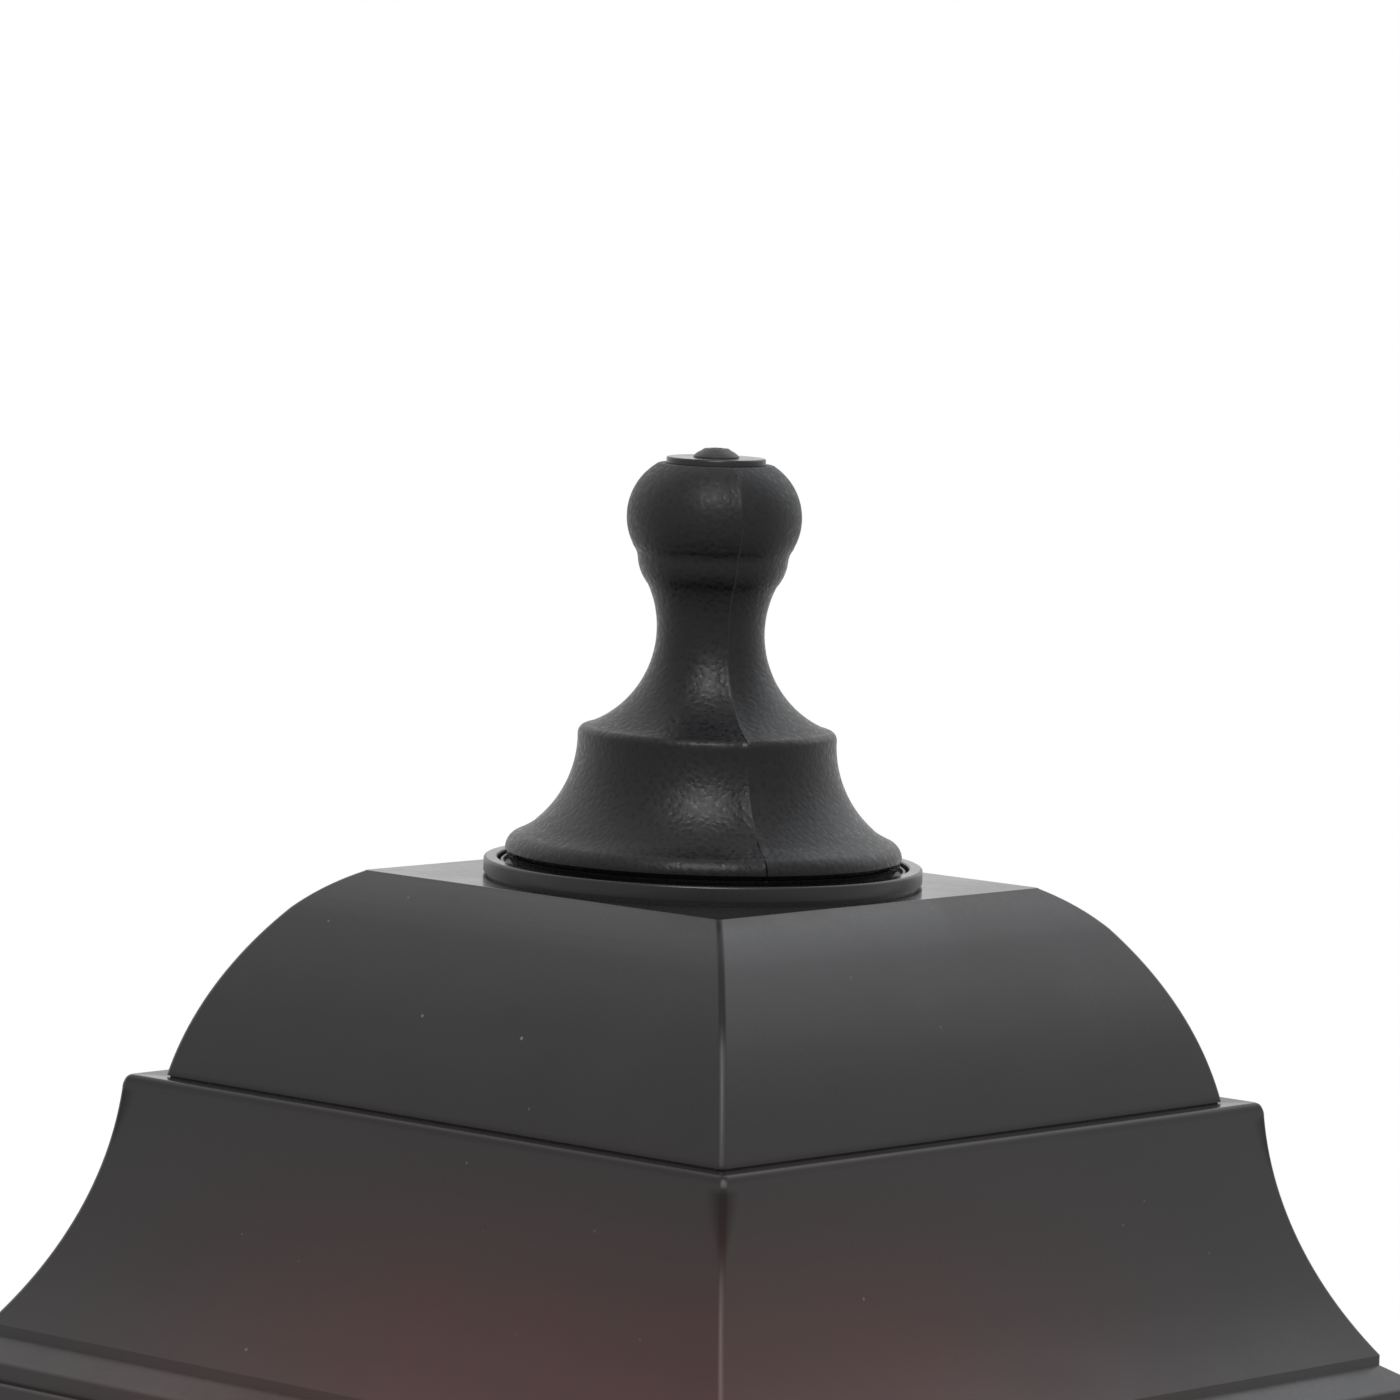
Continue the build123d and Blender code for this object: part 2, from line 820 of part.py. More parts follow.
# Panes, flat tapered sheets in the posts' grooves
def front_pane():
    """A tapered sheet cut square to its own leaning plane."""
    tilt = atan2(post_half_top - post_half_bottom, post_length)
    slope_length = (post_length - sight_gap) / cos(tilt) - pane_thickness * sin(tilt)
    half_low = post_half_bottom - post_side + pane_slot_depth - sight_gap
    half_high = half_low + post_slant * slope_length * cos(tilt)
    lying = Plane(
        origin=(0, -(post_half_bottom - pane_inset), sill_top_z),
        x_dir=(1, 0, 0),
        z_dir=(0, -cos(tilt), -sin(tilt)),
    )
    outline = Polyline(
        (-half_low, 0),
        (half_low, 0),
        (half_high, slope_length),
        (-half_high, slope_length),
        (-half_low, 0),
    )
    return extrude(lying * chain(outline), amount=-pane_thickness)


pane = front_pane()
for name, turn in (("front", 0), ("right", 90), ("back", 180), ("left", 270)):
    save(f"pane_{name}", at_lantern(Rot(0, 0, turn) * pane))


# Top frame
def top_frame():
    frame = square_ring(frame_half, frame_inner_half, frame_bottom_z, frame_top_z)
    low = frame_bottom_z - rail_height
    pane_half = post_half_top - pane_inset + slip_gap
    for bar in on_four_sides(rail(low, frame_bottom_z, pane_half, post_half_top - post_slant * rail_height)):
        frame += bar
    hole = rod(post_screw_radius + running_gap, frame_bottom_z, frame_top_z)
    for cut in at_corners(hole, post_half_top - post_screw_inset):
        frame -= cut
    for side in (-1, 1):
        frame -= Pos(side * bridge_screw_half, 0, 0) * hole
    return frame


save("top_frame", at_lantern(top_frame()))


def post_screw(seat_z, bite_end_z):
    """A pan-head screw from the face its head sits on to the end of its shank, either way up."""
    down = seat_z > bite_end_z
    head_end = seat_z + (post_screw_head_height if down else -post_screw_head_height)
    shank = rod(post_screw_radius, min(seat_z, bite_end_z), max(seat_z, bite_end_z))
    head = rod(post_screw_head_radius, min(seat_z, head_end), max(seat_z, head_end))
    crown = head.edges().group_by(Axis.Z)[-1 if down else 0]
    return shank + chamfer(crown, post_screw_head_bevel)


upper_screw = post_screw(frame_top_z, frame_bottom_z - post_screw_bite)
lower_screw = post_screw(sill_bottom_z - pan_counterbore_land, sill_top_z + post_screw_bite)
upper_half = post_half_top - post_screw_inset
lower_half = post_half_bottom - post_screw_inset
save("post_screws_upper", at_lantern(Compound(at_corners(upper_screw, upper_half))))
save("post_screws_lower", at_lantern(Compound(at_corners(lower_screw, lower_half))))


# Roof shell
def roof_lines():
    """The roof's right side from its top plate down to the eave, heights from the ledge."""
    drip_z = -(flare_drop + drip_step)
    band_top_z = drip_z - slope_drop
    band_low_z = band_top_z - band_drop
    eave = band_low_z - fascia_drop
    return {
        "tier": [
            Line((0, tier_height), (top_plate_half, tier_height)),
            bow((top_plate_half, tier_height), (tier_haunch_half, tier_haunch_height), tier_haunch_bow),
            bow((tier_haunch_half, tier_haunch_height), (tier_half, groove_height), tier_side_bow),
            Line((tier_half, groove_height), (0, groove_height)),
            Line((0, groove_height), (0, tier_height)),
        ],
        "flare": [
            Line((0, 0), (ledge_half - ledge_round, 0)),
            bow((ledge_half - ledge_round, 0), (ledge_half, -ledge_round), quarter_rise * ledge_round),
            bow((ledge_half, -ledge_round), (flare_half, -flare_drop), -flare_bow),
            Line((flare_half, -flare_drop), (flare_half, drip_z)),
            Line((flare_half, drip_z), (0, drip_z)),
            Line((0, drip_z), (0, 0)),
        ],
        "eave": [
            Line((0, drip_z), (flare_half, drip_z)),
            Line((flare_half, drip_z), (slope_half, band_top_z)),
            Line((slope_half, band_top_z), (slope_half, band_low_z)),
            Line((slope_half, band_low_z), (fascia_half - fascia_round, band_low_z)),
            bow(
                (fascia_half - fascia_round, band_low_z),
                (fascia_half, band_low_z - fascia_round),
                quarter_rise * fascia_round,
            ),
            Line((fascia_half, band_low_z - fascia_round), (fascia_half, eave)),
            Line((fascia_half, eave), (0, eave)),
            Line((0, eave), (0, drip_z)),
        ],
    }


def roof_cavity():
    """The hollow: flat under the top plate, bowed like the outside, a seat, then the skirt."""
    wall = roof_wall
    seat = -(roof_depth - skirt_depth)
    eave = -roof_depth
    return both_sides(
        Line((0, tier_height - wall), (top_plate_half - wall / 2, tier_height - wall)),
        bow(
            (top_plate_half - wall / 2, tier_height - wall),
            (tier_half - wall, -wall),
            tier_inner_bow,
        ),
        Line((tier_half - wall, -wall), (ledge_half - wall, -wall)),
        bow((ledge_half - wall, -wall), (flare_half - wall, -flare_drop), -flare_bow),
        Line((flare_half - wall, -flare_drop), (flare_half - wall, seat)),
        Line((flare_half - wall, seat), (skirt_inner_half, seat)),
        Line((skirt_inner_half, seat), (skirt_inner_half, eave)),
        Line((skirt_inner_half, eave), (0, eave)),
        Line((0, eave), (0, tier_height - wall)),
    )


def roof_shell():
    lines = roof_lines()
    roof = None
    for name in ("tier", "flare", "eave"):
        face = both_sides(*lines[name])
        block = mitred(face, face, fascia_half)
        roof = block if roof is None else roof + block
    neck_half = tier_half - groove_depth
    roof += square_ring(neck_half, neck_half / 2, 0, groove_height)
    cavity = roof_cavity()
    roof -= mitred(cavity, cavity, fascia_half)
    roof -= rod(collar_spigot_radius + slip_gap, tier_height - roof_wall, tier_height)
    return Pos(0, 0, ledge_z) * roof


save("roof_shell", at_lantern(roof_shell()))

gasket_outer = frame_half - sight_gap
save(
    "roof_gasket",
    at_lantern(square_ring(gasket_outer, gasket_outer - roof_gasket_width, frame_top_z, seat_z)),
)


# Roof bridge, a top-hat strap over the cage
def roof_bridge():
    foot_top = frame_top_z + bridge_thickness
    web_low = bridge_top_z - bridge_thickness
    outer = bridge_leg_half
    inner = outer - bridge_thickness
    outline = Polyline(
        (0, bridge_top_z),
        (outer, bridge_top_z),
        (outer, foot_top),
        (bridge_half, foot_top),
        (bridge_half, frame_top_z),
        (inner, frame_top_z),
        (inner, web_low),
        (0, web_low),
        (0, bridge_top_z),
    )
    strap = extrude(Plane.XZ * both_sides(outline), amount=bridge_width / 2, both=True)
    strap -= rod(insert_radius + running_gap, web_low, bridge_top_z)
    for side in (-1, 1):
        strap -= Pos(side * bridge_screw_half, 0, 0) * rod(
            post_screw_radius + running_gap, frame_top_z, foot_top
        )
    return strap


save("roof_bridge", at_lantern(roof_bridge()))

insert_bore = screw_radius + running_gap
bridge_insert = ring(insert_radius, insert_bore, insert_bottom_z, bridge_top_z)
bridge_insert += ring(
    insert_flange_radius, insert_bore, bridge_top_z, bridge_top_z + insert_flange_height
)
save("bridge_insert", at_lantern(bridge_insert))

bridge_screw = post_screw(frame_top_z + bridge_thickness, frame_bottom_z)
save(
    "bridge_screws",
    at_lantern(Compound([Pos(side * bridge_screw_half, 0, 0) * bridge_screw for side in (-1, 1)])),
)


# Collar ring: a dish with a foot, a rim and a spigot through the top plate
def collar_ring():
    bore = collar_spigot_radius - collar_spigot_wall
    edge = collar_edge_bevel
    rim = collar_rim_height
    inner = collar_inner_radius
    body = turned(
        Line((bore, collar_floor), (inner, collar_floor)),
        Line((inner, collar_floor), (inner, rim - edge)),
        Line((inner, rim - edge), (inner + edge, rim)),
        Line((inner + edge, rim), (collar_radius - edge, rim)),
        Line((collar_radius - edge, rim), (collar_radius, rim - edge)),
        Line((collar_radius, rim - edge), (collar_radius, collar_foot_height)),
        Line((collar_radius, collar_foot_height), (collar_foot_radius, collar_foot_height)),
        Line((collar_foot_radius, collar_foot_height), (collar_foot_radius, 0)),
        Line((collar_foot_radius, 0), (collar_spigot_radius, 0)),
        Line((collar_spigot_radius, 0), (collar_spigot_radius, -roof_wall)),
        Line((collar_spigot_radius, -roof_wall), (bore, -roof_wall)),
        Line((bore, -roof_wall), (bore, collar_floor)),
    )
    return Pos(0, 0, top_plate_z) * body


save("collar_ring", at_lantern(collar_ring()))


# Seal: a thin flat ring with an upstanding lip seen in the gap round the finial
def finial_seal():
    inner_lip = seal_radius - seal_lip
    body = turned(
        Polyline(
            (seal_inner_radius, 0),
            (seal_radius, 0),
            (seal_radius, seal_lip_height),
            (inner_lip, seal_lip_height),
            (inner_lip, seal_thickness),
            (seal_inner_radius, seal_thickness),
            (seal_inner_radius, 0),
        )
    )
    return Pos(0, 0, top_plate_z + collar_floor) * body


save("finial_seal", at_lantern(finial_seal()))


# Finial: ball, echinus, neck, shoulder, flared skirt and base bead, hollow below
def finial():
    ball = (ball_radius - ball_curve, ball_height)
    neck = (neck_radius + neck_curve, neck_height)
    skirt = (skirt_radius + skirt_curve, skirt_centre_height)
    bead = (bead_centre_radius, bead_centre_height)
    crown = across(ball, ball_curve, finial_height, 1)
    ball_low = across(ball, ball_curve, ball_low_height, 1)
    echinus_top = (echinus_radius, echinus_high_height)
    neck_top = across(neck, neck_curve, echinus_low_height, -1)
    shoulder = (
        shoulder_radius,
        neck[1] - sqrt(neck_curve**2 - (neck[0] - shoulder_radius) ** 2),
    )
    skirt_top = across(skirt, skirt_curve, skirt_top_height, -1)
    bead_top_height = bead[1] + bead_radius * nearly_full
    bead_top = across(bead, bead_radius, bead_top_height, 1)
    skirt_low = across(skirt, skirt_curve, bead_top_height, -1)
    foot = (finial_foot_radius, 0)

    inner_skirt = skirt_curve + finial_wall
    inner_neck = neck_curve + finial_wall
    bore = neck_radius - finial_wall
    mouth = finial_foot_radius - finial_wall
    mouth_height = skirt[1] - sqrt(inner_skirt**2 - (skirt[0] - mouth) ** 2)
    hip_radius = skirt_radius - finial_wall
    hip = (hip_radius, neck[1] - sqrt(inner_neck**2 - (neck[0] - hip_radius) ** 2))
    hip_skirt = across(skirt, inner_skirt, hip[1], -1)
    top_hole = screw_radius + slip_gap
    roof_of_bore = finial_height - finial_crown
    body = turned(
        Line((top_hole, finial_height), crown),
        arc_about(ball, crown, ball_low, 1),
        Line(ball_low, echinus_top),
        bow(echinus_top, neck_top, echinus_bow),
        arc_about(neck, neck_top, shoulder, -1),
        bow(shoulder, skirt_top, shoulder_bow),
        arc_about(skirt, skirt_top, skirt_low, -1),
        Line(skirt_low, bead_top),
        arc_about(bead, bead_top, foot, 1),
        Line(foot, (mouth, 0)),
        Line((mouth, 0), (mouth, mouth_height)),
        arc_about(skirt, (mouth, mouth_height), hip_skirt, -1),
        Line(hip_skirt, hip),
        arc_about(neck, hip, (bore, neck_height), -1),
        Line((bore, neck_height), (bore, roof_of_bore)),
        Line((bore, roof_of_bore), (top_hole, roof_of_bore)),
        Line((top_hole, roof_of_bore), (top_hole, finial_height)),
    )
    return Pos(0, 0, finial_foot_z) * body


save("finial", at_lantern(finial()))

save(
    "penny_washer",
    at_lantern(ring(penny_radius, screw_radius + slip_gap, finial_top_z, penny_top_z)),
)


# Cap screw with a low dome head and a cross recess
def cap_screw():
    low = insert_bottom_z - screw_past_insert
    edge_z = penny_top_z + screw_head_edge
    crown_z = penny_top_z + screw_head_height
    dome = turned(
        Line((0, penny_top_z), (screw_head_radius, penny_top_z)),
        Line((screw_head_radius, penny_top_z), (screw_head_radius, edge_z)),
        bow((0, crown_z), (screw_head_radius, edge_z), screw_head_bow),
        Line((0, crown_z), (0, penny_top_z)),
    )
    screw = dome + rod(screw_radius, low, penny_top_z)
    for turn in (45, 135):
        screw -= Pos(0, 0, crown_z - screw_recess_depth) * Rot(0, 0, turn) * Box(
            screw_head_radius, screw_recess_width, screw_head_height,
            align=(Align.CENTER, Align.CENTER, Align.MIN),
        )
    return screw


save("cap_screw", at_lantern(cap_screw()))

retainer_top_z = top_plate_z - roof_wall - screw_travel - sight_gap
save(
    "screw_retainer",
    at_lantern(
        ring(
            retainer_radius,
            screw_radius + running_gap,
            retainer_top_z - retainer_thickness,
            retainer_top_z,
        )
    ),
)


# Lampholder
def holder_cap():
    bore = nipple_radius + running_gap
    hollow = holder_radius - holder_wall
    body = turned(
        Polyline(
            (bore, 0),
            (holder_foot_radius, 0),
            (holder_foot_radius, holder_neck_height),
            (holder_radius, holder_shoulder_height),
            (holder_radius, holder_cap_height),
            (hollow, holder_cap_height),
            (hollow, holder_shoulder_height + core_seat),
            (holder_foot_radius, holder_thread_depth),
            (bore, holder_thread_depth),
            (bore, 0),
        )
    )
    return Pos(0, 0, holder_z) * body


def holder_skirt():
    hollow = holder_radius - holder_wall
    lip = sleeve_radius + sleeve_wall + loose_gap
    body = turned(
        Polyline(
            (hollow, holder_cap_height),
            (holder_radius, holder_cap_height),
            (holder_mouth_radius, holder_height),
            (lip, holder_height),
            (lip, holder_height - holder_wall),
            (holder_mouth_radius - holder_wall, holder_height - holder_wall),
            (hollow, holder_cap_height),
        )
    )
    return Pos(0, 0, holder_z) * body


save("holder_cap", at_lantern(holder_cap()))
save("holder_skirt", at_lantern(holder_skirt()))
core_radius = holder_radius - holder_wall - slip_gap
save("holder_core", at_lantern(rod(core_radius, core_bottom_z, core_top_z)))
save(
    "thread_sleeve",
    at_lantern(
        ring(sleeve_radius + sleeve_wall, sleeve_radius, core_top_z, core_top_z + sleeve_height)
    ),
)
save("centre_contact", at_lantern(rod(contact_radius, core_top_z, core_top_z + contact_height)))


# Bulb
def bulb_base():
    outer = bulb_thread_radius
    wall = bulb_cap_wall
    body = turned(
        Polyline(
            (bulb_cap_cone_radius, bulb_cap_lip_height),
            (outer, bulb_cap_cone_height),
            (outer, bulb_cap_height),
            (outer - wall, bulb_cap_height),
            (outer - wall, bulb_cap_cone_height + wall),
            (bulb_cap_cone_radius, bulb_cap_lip_height + 2 * wall),
            (bulb_cap_cone_radius, bulb_cap_lip_height),
        )
    )
    return Pos(0, 0, bulb_z) * body


def bulb_insulator():
    body = turned(
        Polyline(
            (0, bulb_contact_height),
            (bulb_contact_radius, bulb_contact_height),
            (bulb_cap_cone_radius, bulb_cap_lip_height),
            (bulb_cap_cone_radius, bulb_cap_cone_height),
            (0, bulb_cap_cone_height),
            (0, bulb_contact_height),
        )
    )
    return Pos(0, 0, bulb_z) * body


def globe_side(radius, neck, wall):
    """The envelope's right side from its crown to its neck."""
    angle = globe_hip_angle * pi / 180
    hip = (radius * cos(angle), globe_height - radius * sin(angle))
    neck_top = (neck, globe_neck_height + wall)
    tip = (globe_tip_radius, globe_height + sqrt(radius**2 - globe_tip_radius**2))
    return [
        Line((0, tip[1]), tip),
        arc_about((0, globe_height), tip, hip, 1),
        bow(hip, neck_top, -globe_neck_bow),
        Line(neck_top, (neck, bulb_cap_height)),
    ]


def bulb_glass():
    inner_radius = globe_neck_radius - globe_wall
    outside = turned(
        *globe_side(globe_radius, globe_neck_radius, 0),
        Line((globe_neck_radius, bulb_cap_height), (0, bulb_cap_height)),
        Line((0, bulb_cap_height), (0, globe_height + sqrt(globe_radius**2 - globe_tip_radius**2))),
    )
    inside = turned(
        *globe_side(globe_radius - globe_wall, inner_radius, globe_wall / 4),
        Line((inner_radius, bulb_cap_height), (0, bulb_cap_height)),
        Line(
            (0, bulb_cap_height),
            (0, globe_height + sqrt((globe_radius - globe_wall) ** 2 - globe_tip_radius**2)),
        ),
    )
    seat_top = bulb_cap_height + globe_seat_height
    seat = ring(bulb_thread_radius - running_gap, inner_radius, bulb_cap_height, seat_top)
    return Pos(0, 0, bulb_z) * (outside - inside + seat)


def bulb_stem():
    foot = globe_neck_radius - globe_wall - running_gap
    flare_top = stem_bottom_height + stem_flare_height
    body = turned(
        Line((0, stem_top_height), (stem_top_radius, stem_top_height)),
        Line((stem_top_radius, stem_top_height), (stem_radius, flare_top)),
        bow((stem_radius, flare_top), (foot, stem_bottom_height), -stem_flare_bow),
        Line((foot, stem_bottom_height), (0, stem_bottom_height)),
        Line((0, stem_bottom_height), (0, stem_top_height)),
    )
    return Pos(0, 0, bulb_z) * body


def around(shape):
    return [Rot(0, 0, 45 + 360 / filament_count * index) * shape for index in range(filament_count)]


def led_filaments():
    low = bulb_z + filament_low_height
    stick = Pos(filament_circle, 0, 0) * rod(filament_radius, low, low + filament_length)
    return Compound(around(stick))


def filament_leads():
    """A post on the stem with a spoke to each filament's upper end."""
    top = bulb_z + filament_low_height + filament_length
    stem_top = bulb_z + stem_top_height
    post = rod(lead_radius, stem_top, top + lead_radius)
    arm_length = filament_circle + filament_radius
    leads = post
    for turn in range(filament_count):
        spoke = Rot(0, 90, 0) * rod(lead_radius, 0, arm_length)
        leads += Rot(0, 0, 45 + 360 / filament_count * turn) * Pos(0, 0, top + lead_radius) * spoke
    return leads


save("bulb_base", at_lantern(bulb_base()))
save("bulb_contact", at_lantern(rod(bulb_contact_radius, bulb_z, bulb_z + bulb_contact_height)))
save("bulb_insulator", at_lantern(bulb_insulator()))
save("bulb_glass", at_lantern(bulb_glass()))
save("bulb_stem", at_lantern(bulb_stem()))
save("led_filaments", at_lantern(led_filaments()))
save("filament_leads", at_lantern(filament_leads()))


# Terminal block on the inside of the wall plate, and the two wires through the arm
def terminal_block():
    block = Pos(0, plate_inner_y, block_centre_z) * Box(
        block_width, block_depth, block_height, align=(Align.CENTER, Align.MIN, Align.CENTER)
    )
    block = fillet(block.edges().filter_by(Axis.Y), block_corner_round)
    port = rod(wire_radius + running_gap, block_top_z - block_port_depth, block_top_z)
    for side in (-1, 1):
        block -= Pos(side * wire_offset, wire_y, 0) * port
    return block


wire_y = plate_inner_y + block_depth - wire_radius - block_port_edge


def wire(side):
    bend = wire_bend_radius
    half = sqrt(0.5)
    corner = (wire_y - bend, -bend)
    entry = [
        Line((wire_y, block_top_z - block_port_depth), (wire_y, -bend)),
        ThreePointArc((wire_y, -bend), (corner[0] + bend * half, corner[1] + bend * half), (corner[0], 0)),
    ]
    line = arm_line(corner[0], side * wire_offset, core_bottom_z, entry)
    start = Plane(
        origin=(side * wire_offset, wire_y, block_top_z - block_port_depth), x_dir=(1, 0, 0), z_dir=(0, 0, 1)
    )
    return sweep(start * RegularPolygon(wire_radius, wire_sides), path=line)


save("terminal_block", terminal_block())
save("wire_brown", wire(-1))
save("wire_blue", wire(1))
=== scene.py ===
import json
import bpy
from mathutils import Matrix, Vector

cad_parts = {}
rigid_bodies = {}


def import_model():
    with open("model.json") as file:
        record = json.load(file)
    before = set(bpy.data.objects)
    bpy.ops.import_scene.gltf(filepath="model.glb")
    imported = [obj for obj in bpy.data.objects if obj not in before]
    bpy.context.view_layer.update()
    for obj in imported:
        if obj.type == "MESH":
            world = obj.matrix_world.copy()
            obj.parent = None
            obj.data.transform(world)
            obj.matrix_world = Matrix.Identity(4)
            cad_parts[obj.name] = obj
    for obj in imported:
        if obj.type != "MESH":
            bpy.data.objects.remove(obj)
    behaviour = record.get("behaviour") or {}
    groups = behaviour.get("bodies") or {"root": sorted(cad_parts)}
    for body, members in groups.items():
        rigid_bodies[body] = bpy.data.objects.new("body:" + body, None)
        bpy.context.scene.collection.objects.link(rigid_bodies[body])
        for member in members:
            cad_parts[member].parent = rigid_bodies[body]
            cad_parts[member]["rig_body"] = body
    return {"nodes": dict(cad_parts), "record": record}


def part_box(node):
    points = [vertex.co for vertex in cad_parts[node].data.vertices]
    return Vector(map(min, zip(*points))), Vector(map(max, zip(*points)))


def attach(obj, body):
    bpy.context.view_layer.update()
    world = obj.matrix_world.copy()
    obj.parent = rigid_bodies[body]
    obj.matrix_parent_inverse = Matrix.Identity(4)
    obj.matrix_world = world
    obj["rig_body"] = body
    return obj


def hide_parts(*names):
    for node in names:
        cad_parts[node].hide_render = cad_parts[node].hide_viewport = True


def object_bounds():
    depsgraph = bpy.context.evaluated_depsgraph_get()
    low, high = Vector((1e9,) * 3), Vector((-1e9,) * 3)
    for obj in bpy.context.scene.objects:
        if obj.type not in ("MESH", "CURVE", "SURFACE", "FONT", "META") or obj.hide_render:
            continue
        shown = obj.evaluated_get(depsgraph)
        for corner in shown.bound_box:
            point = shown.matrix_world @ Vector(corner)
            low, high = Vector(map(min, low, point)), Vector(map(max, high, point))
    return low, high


bl_info = {
    "name": "Outdoor Wall Lamp",
    "version": (1, 0, 0),
    "blender": (4, 5, 0),
    "location": "3D View > Sidebar > Wall Lamp",
    "description": "Builds a four-sided wall lantern over its CAD frame",
    "category": "Object",
}

from math import atan2, ceil, cos, hypot, pi, radians, sin, sqrt

import bmesh
import bpy
from mathutils import Matrix, Vector

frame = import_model()
cad_bounds = [list(corner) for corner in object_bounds()]

# Outlines are drawn in millimetres as (radius or half-width, height), the meshes are in metres
MM = 0.001


def middle(node):
    low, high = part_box(node)
    return (low + high) / 2


def foot(node):
    """The height of a node's lowest point, in metres."""
    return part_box(node)[0].z


LANTERN_X, LANTERN_Y, _ = middle("finial")
ROOF_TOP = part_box("roof_shell")[1].z
# The tier's height above the ledge and the roof's wall in millimetres, the ledge's height in metres
TIER_HEIGHT = 32.25
ROOF_WALL = 2.5
LEDGE = ROOF_TOP - TIER_HEIGHT * MM


# Sizes, shares and colours that a user would change
def setting(kind, **limits):
    """A short call for one kind of property."""

    def made(name, description, default):
        return kind(name=name, description=description, default=default, min=0.0, **limits)

    return made


size = setting(bpy.props.FloatProperty, unit="LENGTH", precision=5)
share = setting(bpy.props.FloatProperty, max=1.0, subtype="FACTOR")
colour = setting(bpy.props.FloatVectorProperty, max=1.0, size=3, subtype="COLOR")


class RoofLook(bpy.types.PropertyGroup):
    arris: size("Arris", "Radius of the edge where two sides of the roof meet", 0.0009)
    edge: size("Edge", "Radius of the roof's level edges", 0.0006)
    tone: colour("Roof", "Colour of the smooth roof moulding", (0.0090, 0.0074, 0.0080))
    # Painted reflection: the colour of a warm reflection painted on the roof towards the eave,
    # strongest by the front corner
    painted_warm_reflection: colour("Warm tone", "Brown that the roof takes on at the eave", (0.0560, 0.0150, 0.0125))
    shine: share("Roughness", "How dull the roof's skin is", 0.31)


class FinialLook(bpy.types.PropertyGroup):
    tone: colour("Finial", "Colour of the grained finial", (0.0065, 0.0066, 0.0074))
    grain: size("Grain", "Size of the grains on the finial's skin", 0.0008)
    grain_depth: size("Grain depth", "How deep the grain is cut", 0.000068)
    parting: size("Parting line", "How far the mould's parting line stands proud", 0.00009)
    shine: share("Roughness", "How dull the finial's skin is", 0.36)


class CageLook(bpy.types.PropertyGroup):
    edge: size("Edge", "Width of the rounded edges on posts, sill, pan and plate", 0.0005)
    tone: colour("Mouldings", "Colour of the cage and the wall plate", (0.0085, 0.0083, 0.0090))
    paint: colour("Paint", "Colour of the arm's powder coat", (0.0095, 0.0095, 0.0102))


class BulbLook(bpy.types.PropertyGroup):
    phosphor: colour("Filament", "Colour of the filaments' coating", (0.75, 0.43, 0.07))
    cap: colour("Cap", "Colour of the bulb's nickelled cap", (0.60, 0.58, 0.54))


class StageLook(bpy.types.PropertyGroup):
    floor: colour("Floor", "Colour of the pale floor", (0.80, 0.80, 0.81))
    floor_radius: size("Floor radius", "Reach of the floor round the lamp", 0.95)
    daylight: share("Daylight", "Strength of the even light from all round", 0.30)


# Outlines: a run of points and arcs that is turned or drawn out into a piece
class Outline:
    """Draws a line of edges in the XZ plane, from short calls, and turns it about the Z axis."""

    def __init__(self, across, up):
        self.bm = bmesh.new()
        self.first = self.last = self.bm.verts.new((across, 0, up))

    def to(self, across, up):
        made = self.bm.verts.new((across, 0, up))
        self.bm.edges.new((self.last, made))
        self.last = made
        return self

    def swing(self, centre, across, up, steps):
        """An arc about a centre, the short way round to a point."""
        start = atan2(self.last.co.z - centre[1], self.last.co.x - centre[0])
        end = atan2(up - centre[1], across - centre[0])
        turn = (end - start + pi) % (2 * pi) - pi
        made = bmesh.ops.spin(
            self.bm, geom=[self.last], cent=(centre[0], 0, centre[1]), axis=(0, -1, 0),
            angle=turn, steps=steps,
        )
        self.last = made["geom_last"][0]
        self.last.co = (across, 0, up)
        return self

    def bow(self, across, up, rise, steps):
        """An arc that rises to the left of the way it runs."""
        run, climb = across - self.last.co.x, up - self.last.co.z
        chord = hypot(run, climb)
        back = (chord * chord / 4 - rise * rise) / (2 * rise)
        middle_x, middle_z = self.last.co.x + run / 2, self.last.co.z + climb / 2
        centre = (middle_x + climb / chord * back, middle_z - run / chord * back)
        return self.swing(centre, across, up, steps)

    def round_corner(self, across, up, radius, next_across, next_up, steps):
        """Runs to a corner and rounds it towards the next point, where the run goes on from."""
        corner = Vector((across, up))
        back = (Vector((self.last.co.x, self.last.co.z)) - corner).normalized()
        on = (Vector((next_across, next_up)) - corner).normalized()
        half = back.angle(on) / 2
        cut = radius * cos(half) / sin(half)
        centre = corner + (back + on).normalized() * (radius / sin(half))
        self.to(*(corner + back * cut))
        return self.swing(centre, *(corner + on * cut), steps)

    def close(self):
        self.bm.edges.new((self.last, self.first))
        return self

    def turned(self, steps):
        bmesh.ops.spin(
            self.bm, geom=self.bm.verts[:] + self.bm.edges[:], cent=(0, 0, 0), axis=(0, 0, 1),
            angle=2 * pi, steps=steps, use_merge=True,
        )
        bmesh.ops.remove_doubles(self.bm, verts=self.bm.verts, dist=0.0005)
        return self.bm

    def four_sided(self, arris, steps=4):
        """The outline carried round a square, from half-widths, with its arrises rounded."""
        bm, edges = self.bm, self.bm.edges[:]
        for vert in bm.verts:
            vert.co.y = vert.co.x - arris
        for corner in range(4):
            quarter = Matrix.Rotation(corner * pi / 2, 3, "Z")
            for step in range(steps):
                low, high = (step * pi / 2 / steps, (step + 1) * pi / 2 / steps)
                along = Vector((cos(high) - cos(low), sin(high) - sin(low), 0)) * arris
                edges = drawn(bm, edges, quarter @ along)
            edges = drawn(bm, edges, (0, 0, 0))
            ends = list({v for e in edges for v in e.verts})
            bmesh.ops.scale(bm, vec=(1, -1, 1) if corner % 2 else (-1, 1, 1), verts=ends)
        bmesh.ops.remove_doubles(bm, verts=bm.verts, dist=0.0005)
        return bm


